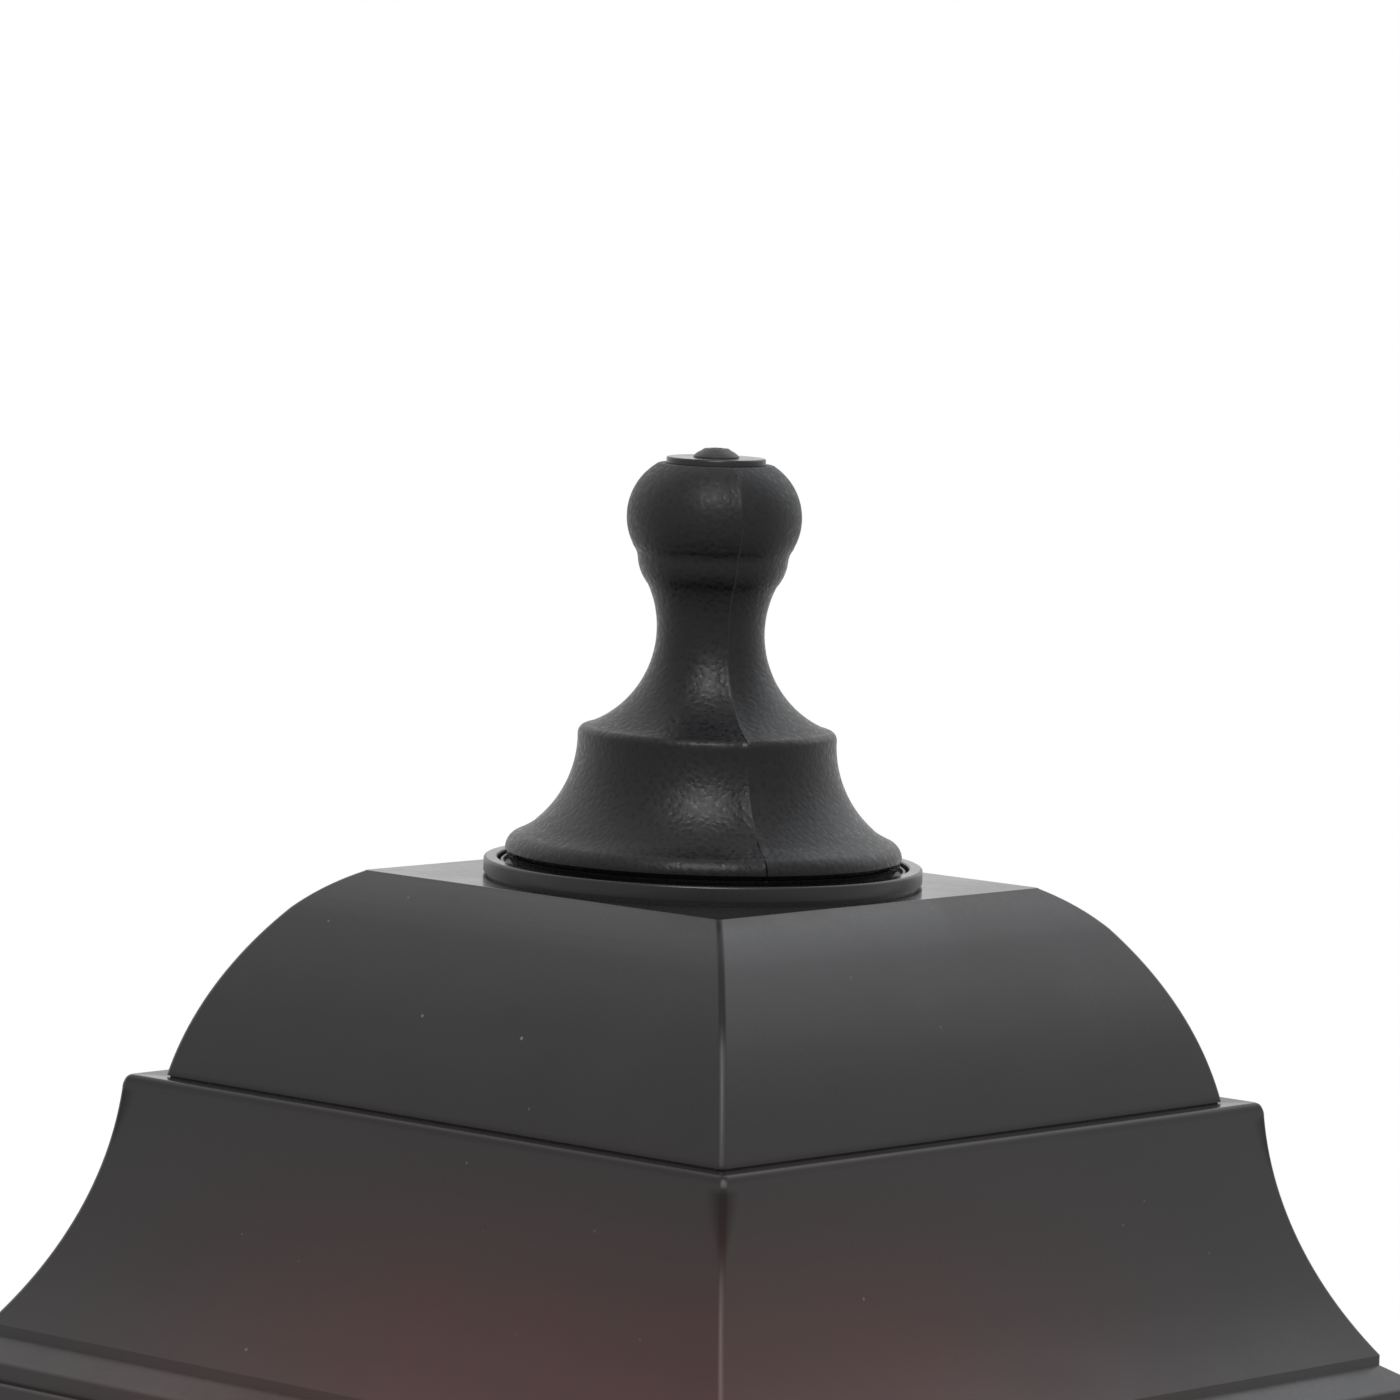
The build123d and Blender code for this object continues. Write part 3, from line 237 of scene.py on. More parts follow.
def beside(centre, radius, up, side=-1):
    """How far out a circle passes a height, on the side that is nearer the axis or on the other."""
    return centre[0] + side * sqrt(radius**2 - (up - centre[1]) ** 2)


def under(centre, radius, across):
    """The height at which a circle's lower half passes a distance from the axis."""
    return centre[1] - sqrt(radius**2 - (across - centre[0]) ** 2)


def lifted(bm, height):
    bmesh.ops.translate(bm, vec=(0, 0, height), verts=bm.verts)


def rotated(bm, angle, axis):
    bmesh.ops.rotate(bm, matrix=Matrix.Rotation(angle, 3, axis), verts=bm.verts)


def bevelled(bm, edges, width):
    """Rounds edges and returns the new points."""
    return bmesh.ops.bevel(
        bm, geom=edges, offset=width, offset_type="OFFSET", segments=2, profile=0.5,
        affect="EDGES", clamp_overlap=True, material=-1,
    )["verts"]


def rims(bm):
    """The open edges of a bmesh."""
    return [e for e in bm.edges if e.is_boundary]


def verts_in(geom):
    return [g for g in geom if isinstance(g, bmesh.types.BMVert)]


def edges_in(geom):
    return [g for g in geom if isinstance(g, bmesh.types.BMEdge)]


def drawn(bm, edges, along):
    """Extrudes a run of edges straight and returns its new end."""
    made = bmesh.ops.extrude_edge_only(bm, edges=edges)["geom"]
    verts = verts_in(made)
    bmesh.ops.translate(bm, vec=along, verts=verts)
    return [e for e in edges_in(made) if all(v in verts for v in e.verts)]


def swept(bm, edges, centre, turn, steps):
    """Spins a ring of edges about a level axis and returns its new end."""
    made = bmesh.ops.spin(
        bm, geom=edges, cent=centre, axis=(1, 0, 0), angle=turn, steps=steps
    )
    return edges_in(made["geom_last"])


def ring(bm, segments, radius, matrix):
    """Adds a circle of edges and returns them."""
    made = bmesh.ops.create_circle(
        bm, cap_ends=False, segments=segments, radius=radius, matrix=matrix
    )
    return list({e for v in made["verts"] for e in v.link_edges})


def placed(bm, height, x=LANTERN_X, y=LANTERN_Y):
    """Takes a bmesh from millimetres about the Z axis to its place, in metres."""
    bmesh.ops.scale(bm, vec=(MM, MM, MM), verts=bm.verts)
    bmesh.ops.translate(bm, vec=(x, y, height), verts=bm.verts)
    return bm


def slot_of(node):
    """The record's material slot of a CAD node."""
    return next(row["material_slot"] for row in frame["record"]["subparts"] if row["node"] == node)


def linked(name, data):
    """A new object in the scene."""
    made = bpy.data.objects.new(name, data)
    bpy.context.scene.collection.objects.link(made)
    return made


# The angle from which an edge between two faces is shaded as an edge, and the finishes by name
CRISP_ANGLE = radians(35)
finishes = {}


def piece(bm, name, node, finish=None, in_place=True):
    """Makes a bmesh an object on a CAD node's body and in its slot, in the node's place or not."""
    bmesh.ops.remove_doubles(bm, verts=bm.verts, dist=0.0000005)
    bmesh.ops.recalc_face_normals(bm, faces=bm.faces)
    for face in bm.faces:
        face.smooth = True
    for edge in bm.edges:
        edge.smooth = not edge.is_manifold or edge.calc_face_angle() < CRISP_ANGLE
    mesh = bpy.data.meshes.new(name)
    bm.to_mesh(mesh)
    bm.free()
    slot = slot_of(node)
    mesh.materials.append(finishes[finish or slot])
    made = linked(name, mesh)
    weighted = made.modifiers.new("Even shading", "WEIGHTED_NORMAL")
    weighted.keep_sharp = True
    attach(made, frame["nodes"][node]["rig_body"])
    if in_place:
        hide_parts(node)


def cad_mesh(node):
    """A CAD node's mesh, with its doubled points joined."""
    bm = bmesh.new()
    bm.from_mesh(frame["nodes"][node].data)
    bmesh.ops.remove_doubles(bm, verts=bm.verts, dist=0.000002)
    return bm


def softened(width, *nodes):
    """Copies of CAD nodes with their crisp edges rounded, each in its node's place."""
    for node in nodes:
        bm = cad_mesh(node)
        bmesh.ops.dissolve_limit(
            bm, angle_limit=radians(1), verts=bm.verts, edges=bm.edges,
            use_dissolve_boundaries=False,
        )
        crisp = [e for e in bm.edges if e.is_manifold and e.calc_face_angle() > radians(30)]
        bevelled(bm, crisp, width)
        piece(bm, node + "_soft", node)


def solids(node):
    """The low and high corners of each solid in a CAD node, such as each of four screws."""
    bm = cad_mesh(node)
    left = set(bm.verts)
    found = []
    while left:
        reached = {left.pop()}
        island = []
        while reached:
            island += reached
            reached = {e.other_vert(v) for v in reached for e in v.link_edges} & left
            left -= reached
        low = Vector([min(v.co[axis] for v in island) for axis in range(3)])
        high = Vector([max(v.co[axis] for v in island) for axis in range(3)])
        found.append((low, high))
    bm.free()
    return found


def joined(bm, other, move=Matrix()):
    """Adds a copy of another bmesh to a bmesh, moved by a matrix."""
    mesh = bpy.data.meshes.new("joined")
    other.to_mesh(mesh)
    mesh.transform(move)
    bm.from_mesh(mesh)
    bpy.data.meshes.remove(mesh)


def threaded(profile, pitch, low, high, steps):
    """A right-hand thread's surface: its profile spun round and up, then cut level at both ends."""
    bm = bmesh.new()
    points = [bm.verts.new((across, 0, low - pitch * (1 - part))) for across, part in profile]
    edges = [bm.edges.new(pair) for pair in zip(points, points[1:])]
    turns = ceil((high - low) / pitch) + 2
    bmesh.ops.spin(
        bm, geom=points + edges, cent=(0, 0, 0), axis=(0, 0, 1), dvec=(0, 0, pitch / steps),
        angle=2 * pi * turns, steps=steps * turns,
    )
    bmesh.ops.remove_doubles(bm, verts=bm.verts, dist=pitch * 0.02)
    for height, side in ((low, -1), (high, 1)):
        bmesh.ops.bisect_plane(
            bm, geom=bm.verts[:] + bm.edges[:] + bm.faces[:], dist=pitch * 0.002,
            plane_co=(0, 0, height), plane_no=(0, 0, side), clear_outer=True,
        )
    return bm


def thickened(bm, wall):
    """Gives an open surface a wall, and returns it."""
    bmesh.ops.recalc_face_normals(bm, faces=bm.faces)
    bmesh.ops.solidify(bm, geom=bm.faces, thickness=wall)
    return bm


def capped(bm):
    """Closes every open end of a bmesh."""
    bmesh.ops.holes_fill(bm, edges=rims(bm), sides=0)
    return bm


# A screw head's shape below its recess, as shares of its radius and height
PAN_HEAD = ((0.86, 0.86), (0.96, 0.66), (1.0, 0.42), (1.0, 0.0))
DOME_HEAD = ((0.66, 0.74), (0.80, 0.56), (0.92, 0.34), (1.0, 0.13), (1.0, 0.0))


def crosshead(radius, height, recess, shape=PAN_HEAD):
    """A round screw head standing on its seat, with a cross recess in its crown."""
    bm = bmesh.new()
    half, crown_radius, crown_height = radius * 0.34, radius * 0.55, height * 0.93
    bmesh.ops.create_grid(
        bm, x_segments=3, y_segments=3, size=half, matrix=Matrix.Translation((0, 0, height))
    )
    middles = {f: f.calc_center_median() for f in bm.faces}
    cross = [f for f, at in middles.items() if min(abs(at.x), abs(at.y)) < half / 3]
    floor = bmesh.ops.extrude_face_region(bm, geom=cross)["geom"]
    bmesh.ops.translate(bm, vec=(0, 0, -recess), verts=verts_in(floor))
    bmesh.ops.delete(bm, geom=cross, context="FACES")
    brim = rims(bm)
    half_step = Matrix.Rotation(radians(7.5), 4, "Z")
    at_crown = Matrix.Translation((0, 0, crown_height)) @ half_step
    crown = ring(bm, 24, crown_radius, at_crown)
    bmesh.ops.bridge_loops(bm, edges=brim + crown)
    for share_out, share_up in shape:
        made = bmesh.ops.extrude_edge_only(bm, edges=crown)["geom"]
        crown = edges_in(made)
        for vert in verts_in(made):
            out = Vector((vert.co.x, vert.co.y, 0)).normalized() * radius * share_out
            vert.co = (out.x, out.y, height * share_up)
    return capped(bm)


# Shader trees
class Tree:
    """Adds nodes to a node tree and links them in short calls."""

    def __init__(self, tree, owner=None):
        self.tree, self.owner = tree, owner
        tree.nodes.clear()

    def add(self, kind, inputs=None, **settings):
        plain = kind if kind.startswith("Node") else "ShaderNode" + kind
        node = self.tree.nodes.new(plain)
        for name, value in settings.items():
            setattr(node, name, value)
        for name, value in (inputs or {}).items():
            if isinstance(value, bpy.types.NodeSocket):
                self.link(value, node.inputs[name])
            else:
                node.inputs[name].default_value = value
        return node

    def link(self, value, socket):
        self.tree.links.new(value, socket)

    def place(self):
        """Where each point of the surface lies, in the frame of the whole lamp."""
        return self.add("TexCoord").outputs["Object"]

    def from_axis(self):
        """Where each point lies from the lantern's axis."""
        inputs = {0: self.place(), 1: (LANTERN_X, LANTERN_Y, 0)}
        return self.add("VectorMath", inputs, operation="SUBTRACT").outputs[0]

    def distance(self, centre):
        """How far each point lies from a centre."""
        inputs = {0: self.place(), 1: centre}
        return self.add("VectorMath", inputs, operation="DISTANCE").outputs["Value"]

    def split(self, vector):
        return self.add("SeparateXYZ", {"Vector": vector}).outputs

    def noise(self, vector, scale, detail, roughness=0.5):
        inputs = {"Vector": vector, "Scale": scale, "Detail": detail, "Roughness": roughness}
        return self.add("TexNoise", inputs).outputs["Fac"]

    def maths(self, operation, *values):
        return self.add("Math", dict(enumerate(values)), operation=operation).outputs[0]

    def times(self, value, *others):
        for other in others:
            value = self.maths("MULTIPLY", value, other)
        return value

    def spread(self, value, low, high, to_low=0.0, to_high=1.0):
        """Maps a value smoothly from one range to another."""
        ends = {"From Min": low, "From Max": high, "To Min": to_low, "To Max": to_high}
        inputs = {"Value": value, **ends}
        node = self.add("MapRange", inputs, interpolation_type="SMOOTHSTEP")
        return node.outputs["Result"]

    def blend(self, factor, first, second):
        return self.add("Mix", {0: factor, 6: first, 7: second}, data_type="RGBA").outputs[2]

    def bump(self, height, distance, over=None):
        """The normal that a height gives, over another bump's where one is named."""
        inputs = {"Height": height, "Distance": distance, "Strength": 1.0}
        if over is not None:
            inputs["Normal"] = over
        return self.add("Bump", inputs).outputs[0]

    def surface(self, body, rough, normal, **others):
        """The material's shader and output, with other sockets by name."""
        inputs = {"Base Color": body, "Roughness": rough, "Normal": normal}
        inputs.update((label.replace("_", " "), value) for label, value in others.items())
        return self.finish(self.add("BsdfPrincipled", inputs))

    def finish(self, shader):
        """Gives the material its shader, and returns the material."""
        self.add("OutputMaterial", {"Surface": shader.outputs[0]})
        return self.owner


def opaque(tone):
    """A colour with its fourth channel, full."""
    return (*tone, 1.0)


def toned(tone, gain, lift=0.0):
    """A colour made paler or darker."""
    return opaque(min(1.0, channel * gain + lift) for channel in tone)


def new_group(name, inputs, outputs):
    """A shader node group with its sockets, and the tree to fill."""
    tree = bpy.data.node_groups.new(name, "ShaderNodeTree")
    kind = "NodeSocketFloat"
    for label, default in inputs:
        socket = tree.interface.new_socket(name=label, in_out="INPUT", socket_type=kind)
        socket.default_value = default
    for label in outputs:
        tree.interface.new_socket(name=label, in_out="OUTPUT", socket_type=kind)
    sheet = Tree(tree)
    return sheet, sheet.add("NodeGroupInput").outputs, sheet.add("NodeGroupOutput").inputs


def dust_group():
    """A few fine specks, each of its own size and brightness, and smudges on a dark moulding."""
    inputs, cells_a_metre = [("Speck Size", 0.0003), ("Amount", 1.0)], 150.0
    sheet, given, out = new_group("Dust", inputs, ["Specks", "Smudge"])
    place = sheet.place()
    cells = sheet.add("TexVoronoi", {"Vector": place, "Scale": cells_a_metre, "Randomness": 1.0})
    lot = sheet.add("SeparateColor", {"Color": cells.outputs["Color"]}).outputs
    reach = sheet.times(given["Speck Size"], cells_a_metre, lot["Red"])
    near = sheet.maths("LESS_THAN", cells.outputs["Distance"], reach)
    pale = sheet.times(near, sheet.spread(lot["Green"], 0.0, 1.0, 0.15, 1.0))
    sheet.link(sheet.times(pale, given["Amount"]), out["Specks"])
    cloud = sheet.noise(place, 38.0, 4.0, 0.55)
    sheet.link(sheet.times(sheet.spread(cloud, 0.35, 0.7), given["Amount"]), out["Smudge"])
    return sheet.tree


def grain_group():
    """A leathery moulded grain as a height, with its pits as a mask."""
    inputs = [("Size", 0.0005), ("Unevenness", 0.5)]
    sheet, given, out = new_group("Grain", inputs, ["Height", "Pits"])
    place = sheet.place()
    scale = sheet.maths("DIVIDE", 1.0, given["Size"])
    pebbles = sheet.add("TexVoronoi", {"Vector": place, "Scale": scale}, feature="SMOOTH_F1")
    uneven = sheet.times(sheet.noise(place, scale, 3.0, 0.6), given["Unevenness"])
    height = sheet.maths("ADD", pebbles.outputs["Distance"], uneven)
    sheet.link(height, out["Height"])
    sheet.link(sheet.spread(height, 0.55, 0.95), out["Pits"])
    return sheet.tree


def skin_group():
    """Slow level waves in a moulded skin, where the melt flowed, and a fine dullness over them."""
    sheet, given, out = new_group("Skin", [("Wave Size", 0.02)], ["Height", "Dullness"])
    place = sheet.place()
    scale = sheet.maths("DIVIDE", 1.0, given["Wave Size"])
    level = sheet.add("Mapping", {"Vector": place, "Scale": (0.45, 0.45, 2.2)}).outputs[0]
    sheet.link(sheet.noise(level, scale, 2.0, 0.4), out["Height"])
    sheet.link(sheet.noise(place, 900.0, 3.0, 0.6), out["Dullness"])
    return sheet.tree


EFFECTS = {"Dust": dust_group, "Grain": grain_group, "Skin": skin_group}


def effect(sheet, name, **values):
    """Places a shared group in a material, with its own values."""
    tree = bpy.data.node_groups.get(name) or EFFECTS[name]()
    node = sheet.add("Group", node_tree=tree)
    for label, value in values.items():
        node.inputs[label.replace("_", " ")].default_value = value
    return node.outputs


def new_material(name):
    material = bpy.data.materials.new(name)
    material.use_nodes = True
    return Tree(material.node_tree, material)


# A fleck of dust, the painted highlight on the ledge's corners, and how far a mark reaches from an
# arris, in metres
SPECK_TONE = (0.35, 0.34, 0.32, 1.0)
PAINTED_GLINT_TONE = (0.11, 0.10, 0.10, 1.0)
ARRIS_REACH = (0.0009, 0.0004)
# Heights above the ledge at which the marks on the roof's arrises begin and are full, in metres
SEAM_RISE = (0.0155, 0.0205)
SMUDGE_FOOT, SMUDGE_TOP = (-0.014, -0.008), (-0.0016, -0.0028)
PAINTED_SHEEN_TOP, PAINTED_SHEEN_FOOT, PAINTED_SHEEN_FLARE = (0.020, 0.0145), (0.0001, 0.0006), (-0.011, -0.017)
LIP_HEIGHT, PAINTED_GLINT_HEIGHT = -0.0003, -0.0011
# The middle of the painted warm reflection, in metres, by the front corner at the eave's height
PAINTED_REFLECTION_CORNER = (0.055, -0.205, 0.150)


def moulded(name, tone, dullness, wave_depth=0.00002, painted_warm_reflection=None, mirror=0.5):
    """Smooth moulded plastic with faint flow waves, smudges and dust."""
    sheet = new_material(name)
    skin = effect(sheet, "Skin", Wave_Size=0.03)
    dust = effect(sheet, "Dust", Amount=1.0)
    body, sheen_widening = opaque(tone), 0.0
    if painted_warm_reflection is not None:
        # The roof's painted light: paler towards the eave, with a warm reflection painted on by the
        # front corner
        dull_and_sheen, painted_glint = arris_shade(sheet)
        # Painted highlight: the body is paled to grey at the ledge's corners
        body = sheet.blend(sheet.times(painted_glint, 0.8), with_painted_reflection(sheet, tone, painted_warm_reflection), PAINTED_GLINT_TONE)
        # Painted highlight: the mirror is raised along the arrises where the mask is below zero and
        # lowered where they are duller, and the raised lines are made rougher to widen them
        mirror = sheet.times(mirror, sheet.maths("SUBTRACT", 1.0, dull_and_sheen))
        sheen_widening = sheet.times(sheet.maths("MINIMUM", dull_and_sheen, 0.0), 0.3)
    body = sheet.blend(sheet.times(dust["Smudge"], 0.3), body, toned(tone, 1.5, 0.002))
    body = sheet.blend(sheet.times(dust["Specks"], 0.4), body, SPECK_TONE)
    rough = sheet.spread(dust["Smudge"], 0.0, 1.0, dullness - 0.03, dullness + 0.05)
    rough = sheet.maths("ADD", rough, sheet.spread(skin["Dullness"], 0.3, 0.7, -0.02, 0.02))
    rough = sheet.maths("SUBTRACT", rough, sheen_widening)
    upright = sheet.split(sheet.add("NewGeometry").outputs["Normal"])["Z"]
    rough = sheet.times(rough, sheet.spread(upright, 0.97, 0.999, 1.0, 0.6))
    fine = sheet.bump(skin["Dullness"], 0.000004, sheet.bump(skin["Height"], wave_depth))
    return sheet.surface(body, rough, fine, IOR=1.43, Specular_IOR_Level=mirror)


def arris_shade(sheet):
    """How much each place mirrors less, and the painted highlights on the corners of the ledge.

    A seam along the tier's upper arrises, a smudge below each corner and the ledge's lip are
    duller. Where the figure is below nothing, the edge mirrors more, as a painted highlight.
    Heights are from the ledge.
    """
    across = sheet.split(sheet.from_axis())
    x, y = (sheet.maths("ABSOLUTE", across[axis]) for axis in "XY")
    away = sheet.maths("ABSOLUTE", sheet.maths("SUBTRACT", x, y))
    up = sheet.maths("SUBTRACT", across["Z"], LEDGE)

    def near(height, far, close, full=1.0):
        offset = sheet.maths("ABSOLUTE", sheet.maths("SUBTRACT", up, height))
        return sheet.spread(offset, far, close, 0.0, full)

    line = sheet.spread(away, *ARRIS_REACH)
    seam = sheet.times(line, sheet.spread(up, *SEAM_RISE, 0.0, 0.32))
    taper = sheet.maths("DIVIDE", away, sheet.spread(up, -0.013, -0.003, 0.4, 1.2))
    smudge = sheet.times(
        sheet.spread(up, *SMUDGE_FOOT),
        sheet.spread(up, *SMUDGE_TOP),
        sheet.spread(taper, 0.0032, 0.0003, 0.0, 0.55),
    )
    lip = near(LIP_HEIGHT, 0.0013, 0.0002, 0.3)
    dull = sheet.maths("MAXIMUM", sheet.maths("MAXIMUM", seam, smudge), lip)
    # Painted highlight: the arrises' lines mirror more on the tier's foot and on the flare
    tier = sheet.times(sheet.spread(up, *PAINTED_SHEEN_TOP), sheet.spread(up, *PAINTED_SHEEN_FOOT))
    flare = sheet.spread(up, *PAINTED_SHEEN_FLARE)
    painted_sheen = sheet.times(line, 0.5, sheet.maths("MAXIMUM", tier, flare))
    # Painted highlight at the corners of the ledge
    painted_glint = sheet.times(line, near(PAINTED_GLINT_HEIGHT, 0.0008, 0.0001))
    return sheet.maths("SUBTRACT", dull, painted_sheen), painted_glint


def with_painted_reflection(sheet, tone, painted_warm_reflection):
    """The roof's tone with painted light: paler from the ledge to the eave, and a painted warm,
    brown reflection there that is strongest by the front corner.
    """
    height = sheet.split(sheet.place())["Z"]
    down = sheet.spread(height, LEDGE + 0.006, LEDGE - 0.036)
    near = sheet.spread(sheet.distance(PAINTED_REFLECTION_CORNER), 0.135, 0.030)
    body = sheet.blend(down, opaque(tone), toned(tone, 1.3, 0.001))
    return sheet.blend(sheet.times(down, near), body, opaque(painted_warm_reflection))


# The vertical plane in which the two halves of the finial's mould meet
PARTING_AZIMUTH = -29.5
FOLD_WIDTH = 0.0014
FOLD_RISE = 0.00009
# The height of the ball's lower edge above the finial's foot
BALL_FOOT = 0.046


def parting_fold(sheet):
    """A height that climbs to the mould's parting plane from both sides."""
    across = (-sin(radians(PARTING_AZIMUTH)), cos(radians(PARTING_AZIMUTH)), 0)
    inputs = {0: sheet.from_axis(), 1: across}
    away = sheet.add("VectorMath", inputs, operation="DOT_PRODUCT").outputs["Value"]
    share_out = sheet.maths("DIVIDE", sheet.maths("ABSOLUTE", away), FOLD_WIDTH)
    return sheet.maths("MAXIMUM", 0.0, sheet.maths("SUBTRACT", 1.0, share_out))


def grained(name, tone, dullness, grain, depth, mirror=0.36):
    """Plastic with a moulded-in leathery grain that glitters where light strikes it."""
    sheet = new_material(name)
    skin = effect(sheet, "Grain", Size=grain, Unevenness=0.9)
    dust = effect(sheet, "Dust", Amount=0.5)
    body = sheet.blend(sheet.times(skin["Pits"], 0.5), opaque(tone), toned(tone, 1.6, 0.003))
    body = sheet.blend(sheet.times(dust["Specks"], 0.4), body, SPECK_TONE)
    rough = sheet.spread(skin["Height"], 0.3, 1.0, dullness - 0.17, dullness + 0.04)
    height, ball = sheet.split(sheet.place())["Z"], foot("finial") + BALL_FOOT
    rough = sheet.maths("ADD", rough, sheet.spread(height, ball, ball + 0.006, 0.0, 0.1))
    # Painted shade: the mirror is weakened in crevices that ambient occlusion finds, under the ball
    # and down the neck
    shade = sheet.add("AmbientOcclusion", {"Distance": 0.03}, samples=6, inside=False)
    mirror = sheet.spread(shade.outputs["AO"], 0.4, 0.95, mirror * 0.15, mirror)
    # Painted shade: the mirror is weaker where the skin faces the camera and stronger towards its
    # edges, standing in for a dark reflection
    turned_away = sheet.add("LayerWeight", {"Blend": 0.5}).outputs["Facing"]
    mirror = sheet.times(mirror, sheet.spread(turned_away, 0.05, 0.6, 0.8, 1.08))
    fold = sheet.bump(parting_fold(sheet), FOLD_RISE)
    normal = sheet.bump(skin["Height"], depth, fold)
    return sheet.surface(body, rough, normal, IOR=1.4, Specular_IOR_Level=mirror)


def painted(name, tone, dullness):
    """Powder coat: a soft orange-peel skin."""
    sheet = new_material(name)
    peel = effect(sheet, "Grain", Size=0.0011, Unevenness=1.2)
    dust = effect(sheet, "Dust", Amount=0.8)
    body = sheet.blend(sheet.times(dust["Specks"], 0.3), opaque(tone), (0.3, 0.3, 0.29, 1.0))
    rough = sheet.spread(dust["Smudge"], 0.0, 1.0, dullness - 0.04, dullness + 0.06)
    return sheet.surface(body, rough, sheet.bump(peel["Height"], 0.00003))


def metal(name, tone, dullness):
    """Bare or plated metal with fine drawn lines and dull spots."""
    sheet = new_material(name)
    place = sheet.add("Mapping", {"Vector": sheet.place(), "Scale": (1.0, 1.0, 12.0)})
    lines = sheet.noise(place.outputs[0], 700.0, 3.0)
    dust = effect(sheet, "Dust", Amount=0.7)
    body = sheet.blend(sheet.spread(lines, 0.35, 0.65), opaque(tone), toned(tone, 0.72))
    rough = sheet.spread(lines, 0.3, 0.7, dullness - 0.06, dullness + 0.06)
    rough = sheet.maths("ADD", rough, sheet.times(dust["Smudge"], 0.08))
    return sheet.surface(body, rough, sheet.bump(lines, 0.000008), Metallic=1.0)


def glassy(name, tone, dullness, wave_depth):
    """Clear sheet or blown glass, faintly wavy."""
    sheet = new_material(name)
    skin = effect(sheet, "Skin", Wave_Size=0.025)
    dust = effect(sheet, "Dust", Amount=0.6)
    rough = sheet.spread(dust["Smudge"], 0.0, 1.0, dullness, dullness + 0.04)
    wave = sheet.bump(skin["Height"], wave_depth)
    return sheet.surface(opaque(tone), rough, wave, Transmission_Weight=1.0, IOR=1.47)


def soft_skin(name, tone, dullness, grain=0.0009):
    """Rubber, ceramic or wire insulation: an even body under a fine mottle."""
    sheet = new_material(name)
    skin = effect(sheet, "Grain", Size=grain, Unevenness=1.0)
    dust = effect(sheet, "Dust", Amount=0.7)
    body = sheet.blend(sheet.times(dust["Smudge"], 0.5), opaque(tone), toned(tone, 1.25, 0.004))
    rough = sheet.spread(skin["Height"], 0.3, 1.0, dullness - 0.05, dullness + 0.05)
    return sheet.surface(body, rough, sheet.bump(skin["Height"], 0.00001))


def build_materials(scene):
    """One procedural material for each finish in the record."""
    roof, finial, cage, bulb = scene.lamp_roof, scene.lamp_finial, scene.lamp_cage, scene.lamp_bulb
    return {
        "black_roof": moulded("Roof moulding", roof.tone, roof.shine, 0.0002, roof.painted_warm_reflection, 0.46),
        "black_grained": grained(
            "Grained moulding", finial.tone, finial.shine, finial.grain, finial.grain_depth
        ),
        "black_collar": moulded("Glossy moulding", (0.006, 0.0052, 0.0052), 0.3, mirror=0.46),
        "black_moulding": moulded("Cage moulding", cage.tone, 0.42, 0.00012),
        "black_painted": painted("Powder coat", cage.paint, 0.4),
        "clear_pane": glassy("Clear pane", (0.97, 0.98, 0.975), 0.03, 0.00002),
        "zinc_steel": metal("Zinc plate", (0.56, 0.57, 0.58), 0.34),
        "brass": metal("Brass", (0.68, 0.47, 0.20), 0.32),
        "black_rubber": soft_skin("Black rubber", (0.018, 0.018, 0.018), 0.75),
        "grey_seal": soft_skin("Grey seal", (0.30, 0.30, 0.30), 0.5),
        "holder_plastic": moulded("Holder moulding", (0.02, 0.02, 0.02), 0.34),
        "white_core": soft_skin("White ceramic", (0.72, 0.70, 0.66), 0.35, 0.0006),
        "cap_metal": metal("Nickelled cap", bulb.cap, 0.24),
        "bulb_glass": glassy("Blown glass", (0.99, 0.99, 0.985), 0.01, 0.00001),
        "filament": soft_skin("Filament coating", bulb.phosphor, 0.55, 0.0003),
        "brown_insulation": soft_skin("Brown insulation", (0.10, 0.035, 0.014), 0.45),
        "blue_insulation": soft_skin("Blue insulation", (0.015, 0.06, 0.28), 0.45),
    }


# Roof, with heights from its ledge
def roof_outline(edge):
    """The roof's outside from the top plate to the eave and back up its inside."""
    drip, slope_low, band_low, eave = -40.35, -43.45, -46.05, -54.95
    flare_end, seat = drip + 1.6, eave + 8.0
    line = Outline(13.0, TIER_HEIGHT)
    line.round_corner(36.6, TIER_HEIGHT, edge, 38.4, 30.3, 4)
    line.bow(44.5, 26.25, 0.42, 10).bow(57.35, 0.0, 1.77, 22)
    line.to(57.0, -0.04).to(57.0, -0.22)
    line.to(60.9, 0.0).bow(61.72, -0.5, 0.135, 5).bow(62.12, -2.2, 0.107, 5)
    line.bow(75.8, flare_end, -2.66, 26)
    line.to(75.8, drip).to(80.3, slope_low + 0.35).bow(80.9, slope_low - 0.4, 0.12, 3)
    line.to(80.9, band_low).round_corner(82.5, band_low, 0.9, 82.5, -49.0, 5)
    line.round_corner(82.5, eave, 0.6, 80.0, eave, 3).to(80.0, eave)
    line.to(80.0, seat).to(73.3, seat).to(73.3, flare_end)
    line.bow(62.0 - ROOF_WALL, -ROOF_WALL, 2.71, 18).to(57.4 - ROOF_WALL, -ROOF_WALL)
    inner_top = TIER_HEIGHT - ROOF_WALL
    line.bow(36.6 - ROOF_WALL / 2, inner_top, -3.2, 20).to(13.0, inner_top)
    return line


# The radius of the hole in the top plate
SPIGOT_HOLE = 9.2


def open_at(bm, height):
    """The open edges that lie level at a height."""
    return [e for e in rims(bm) if all(abs(v.co.z - height) < 0.01 for v in e.verts)]


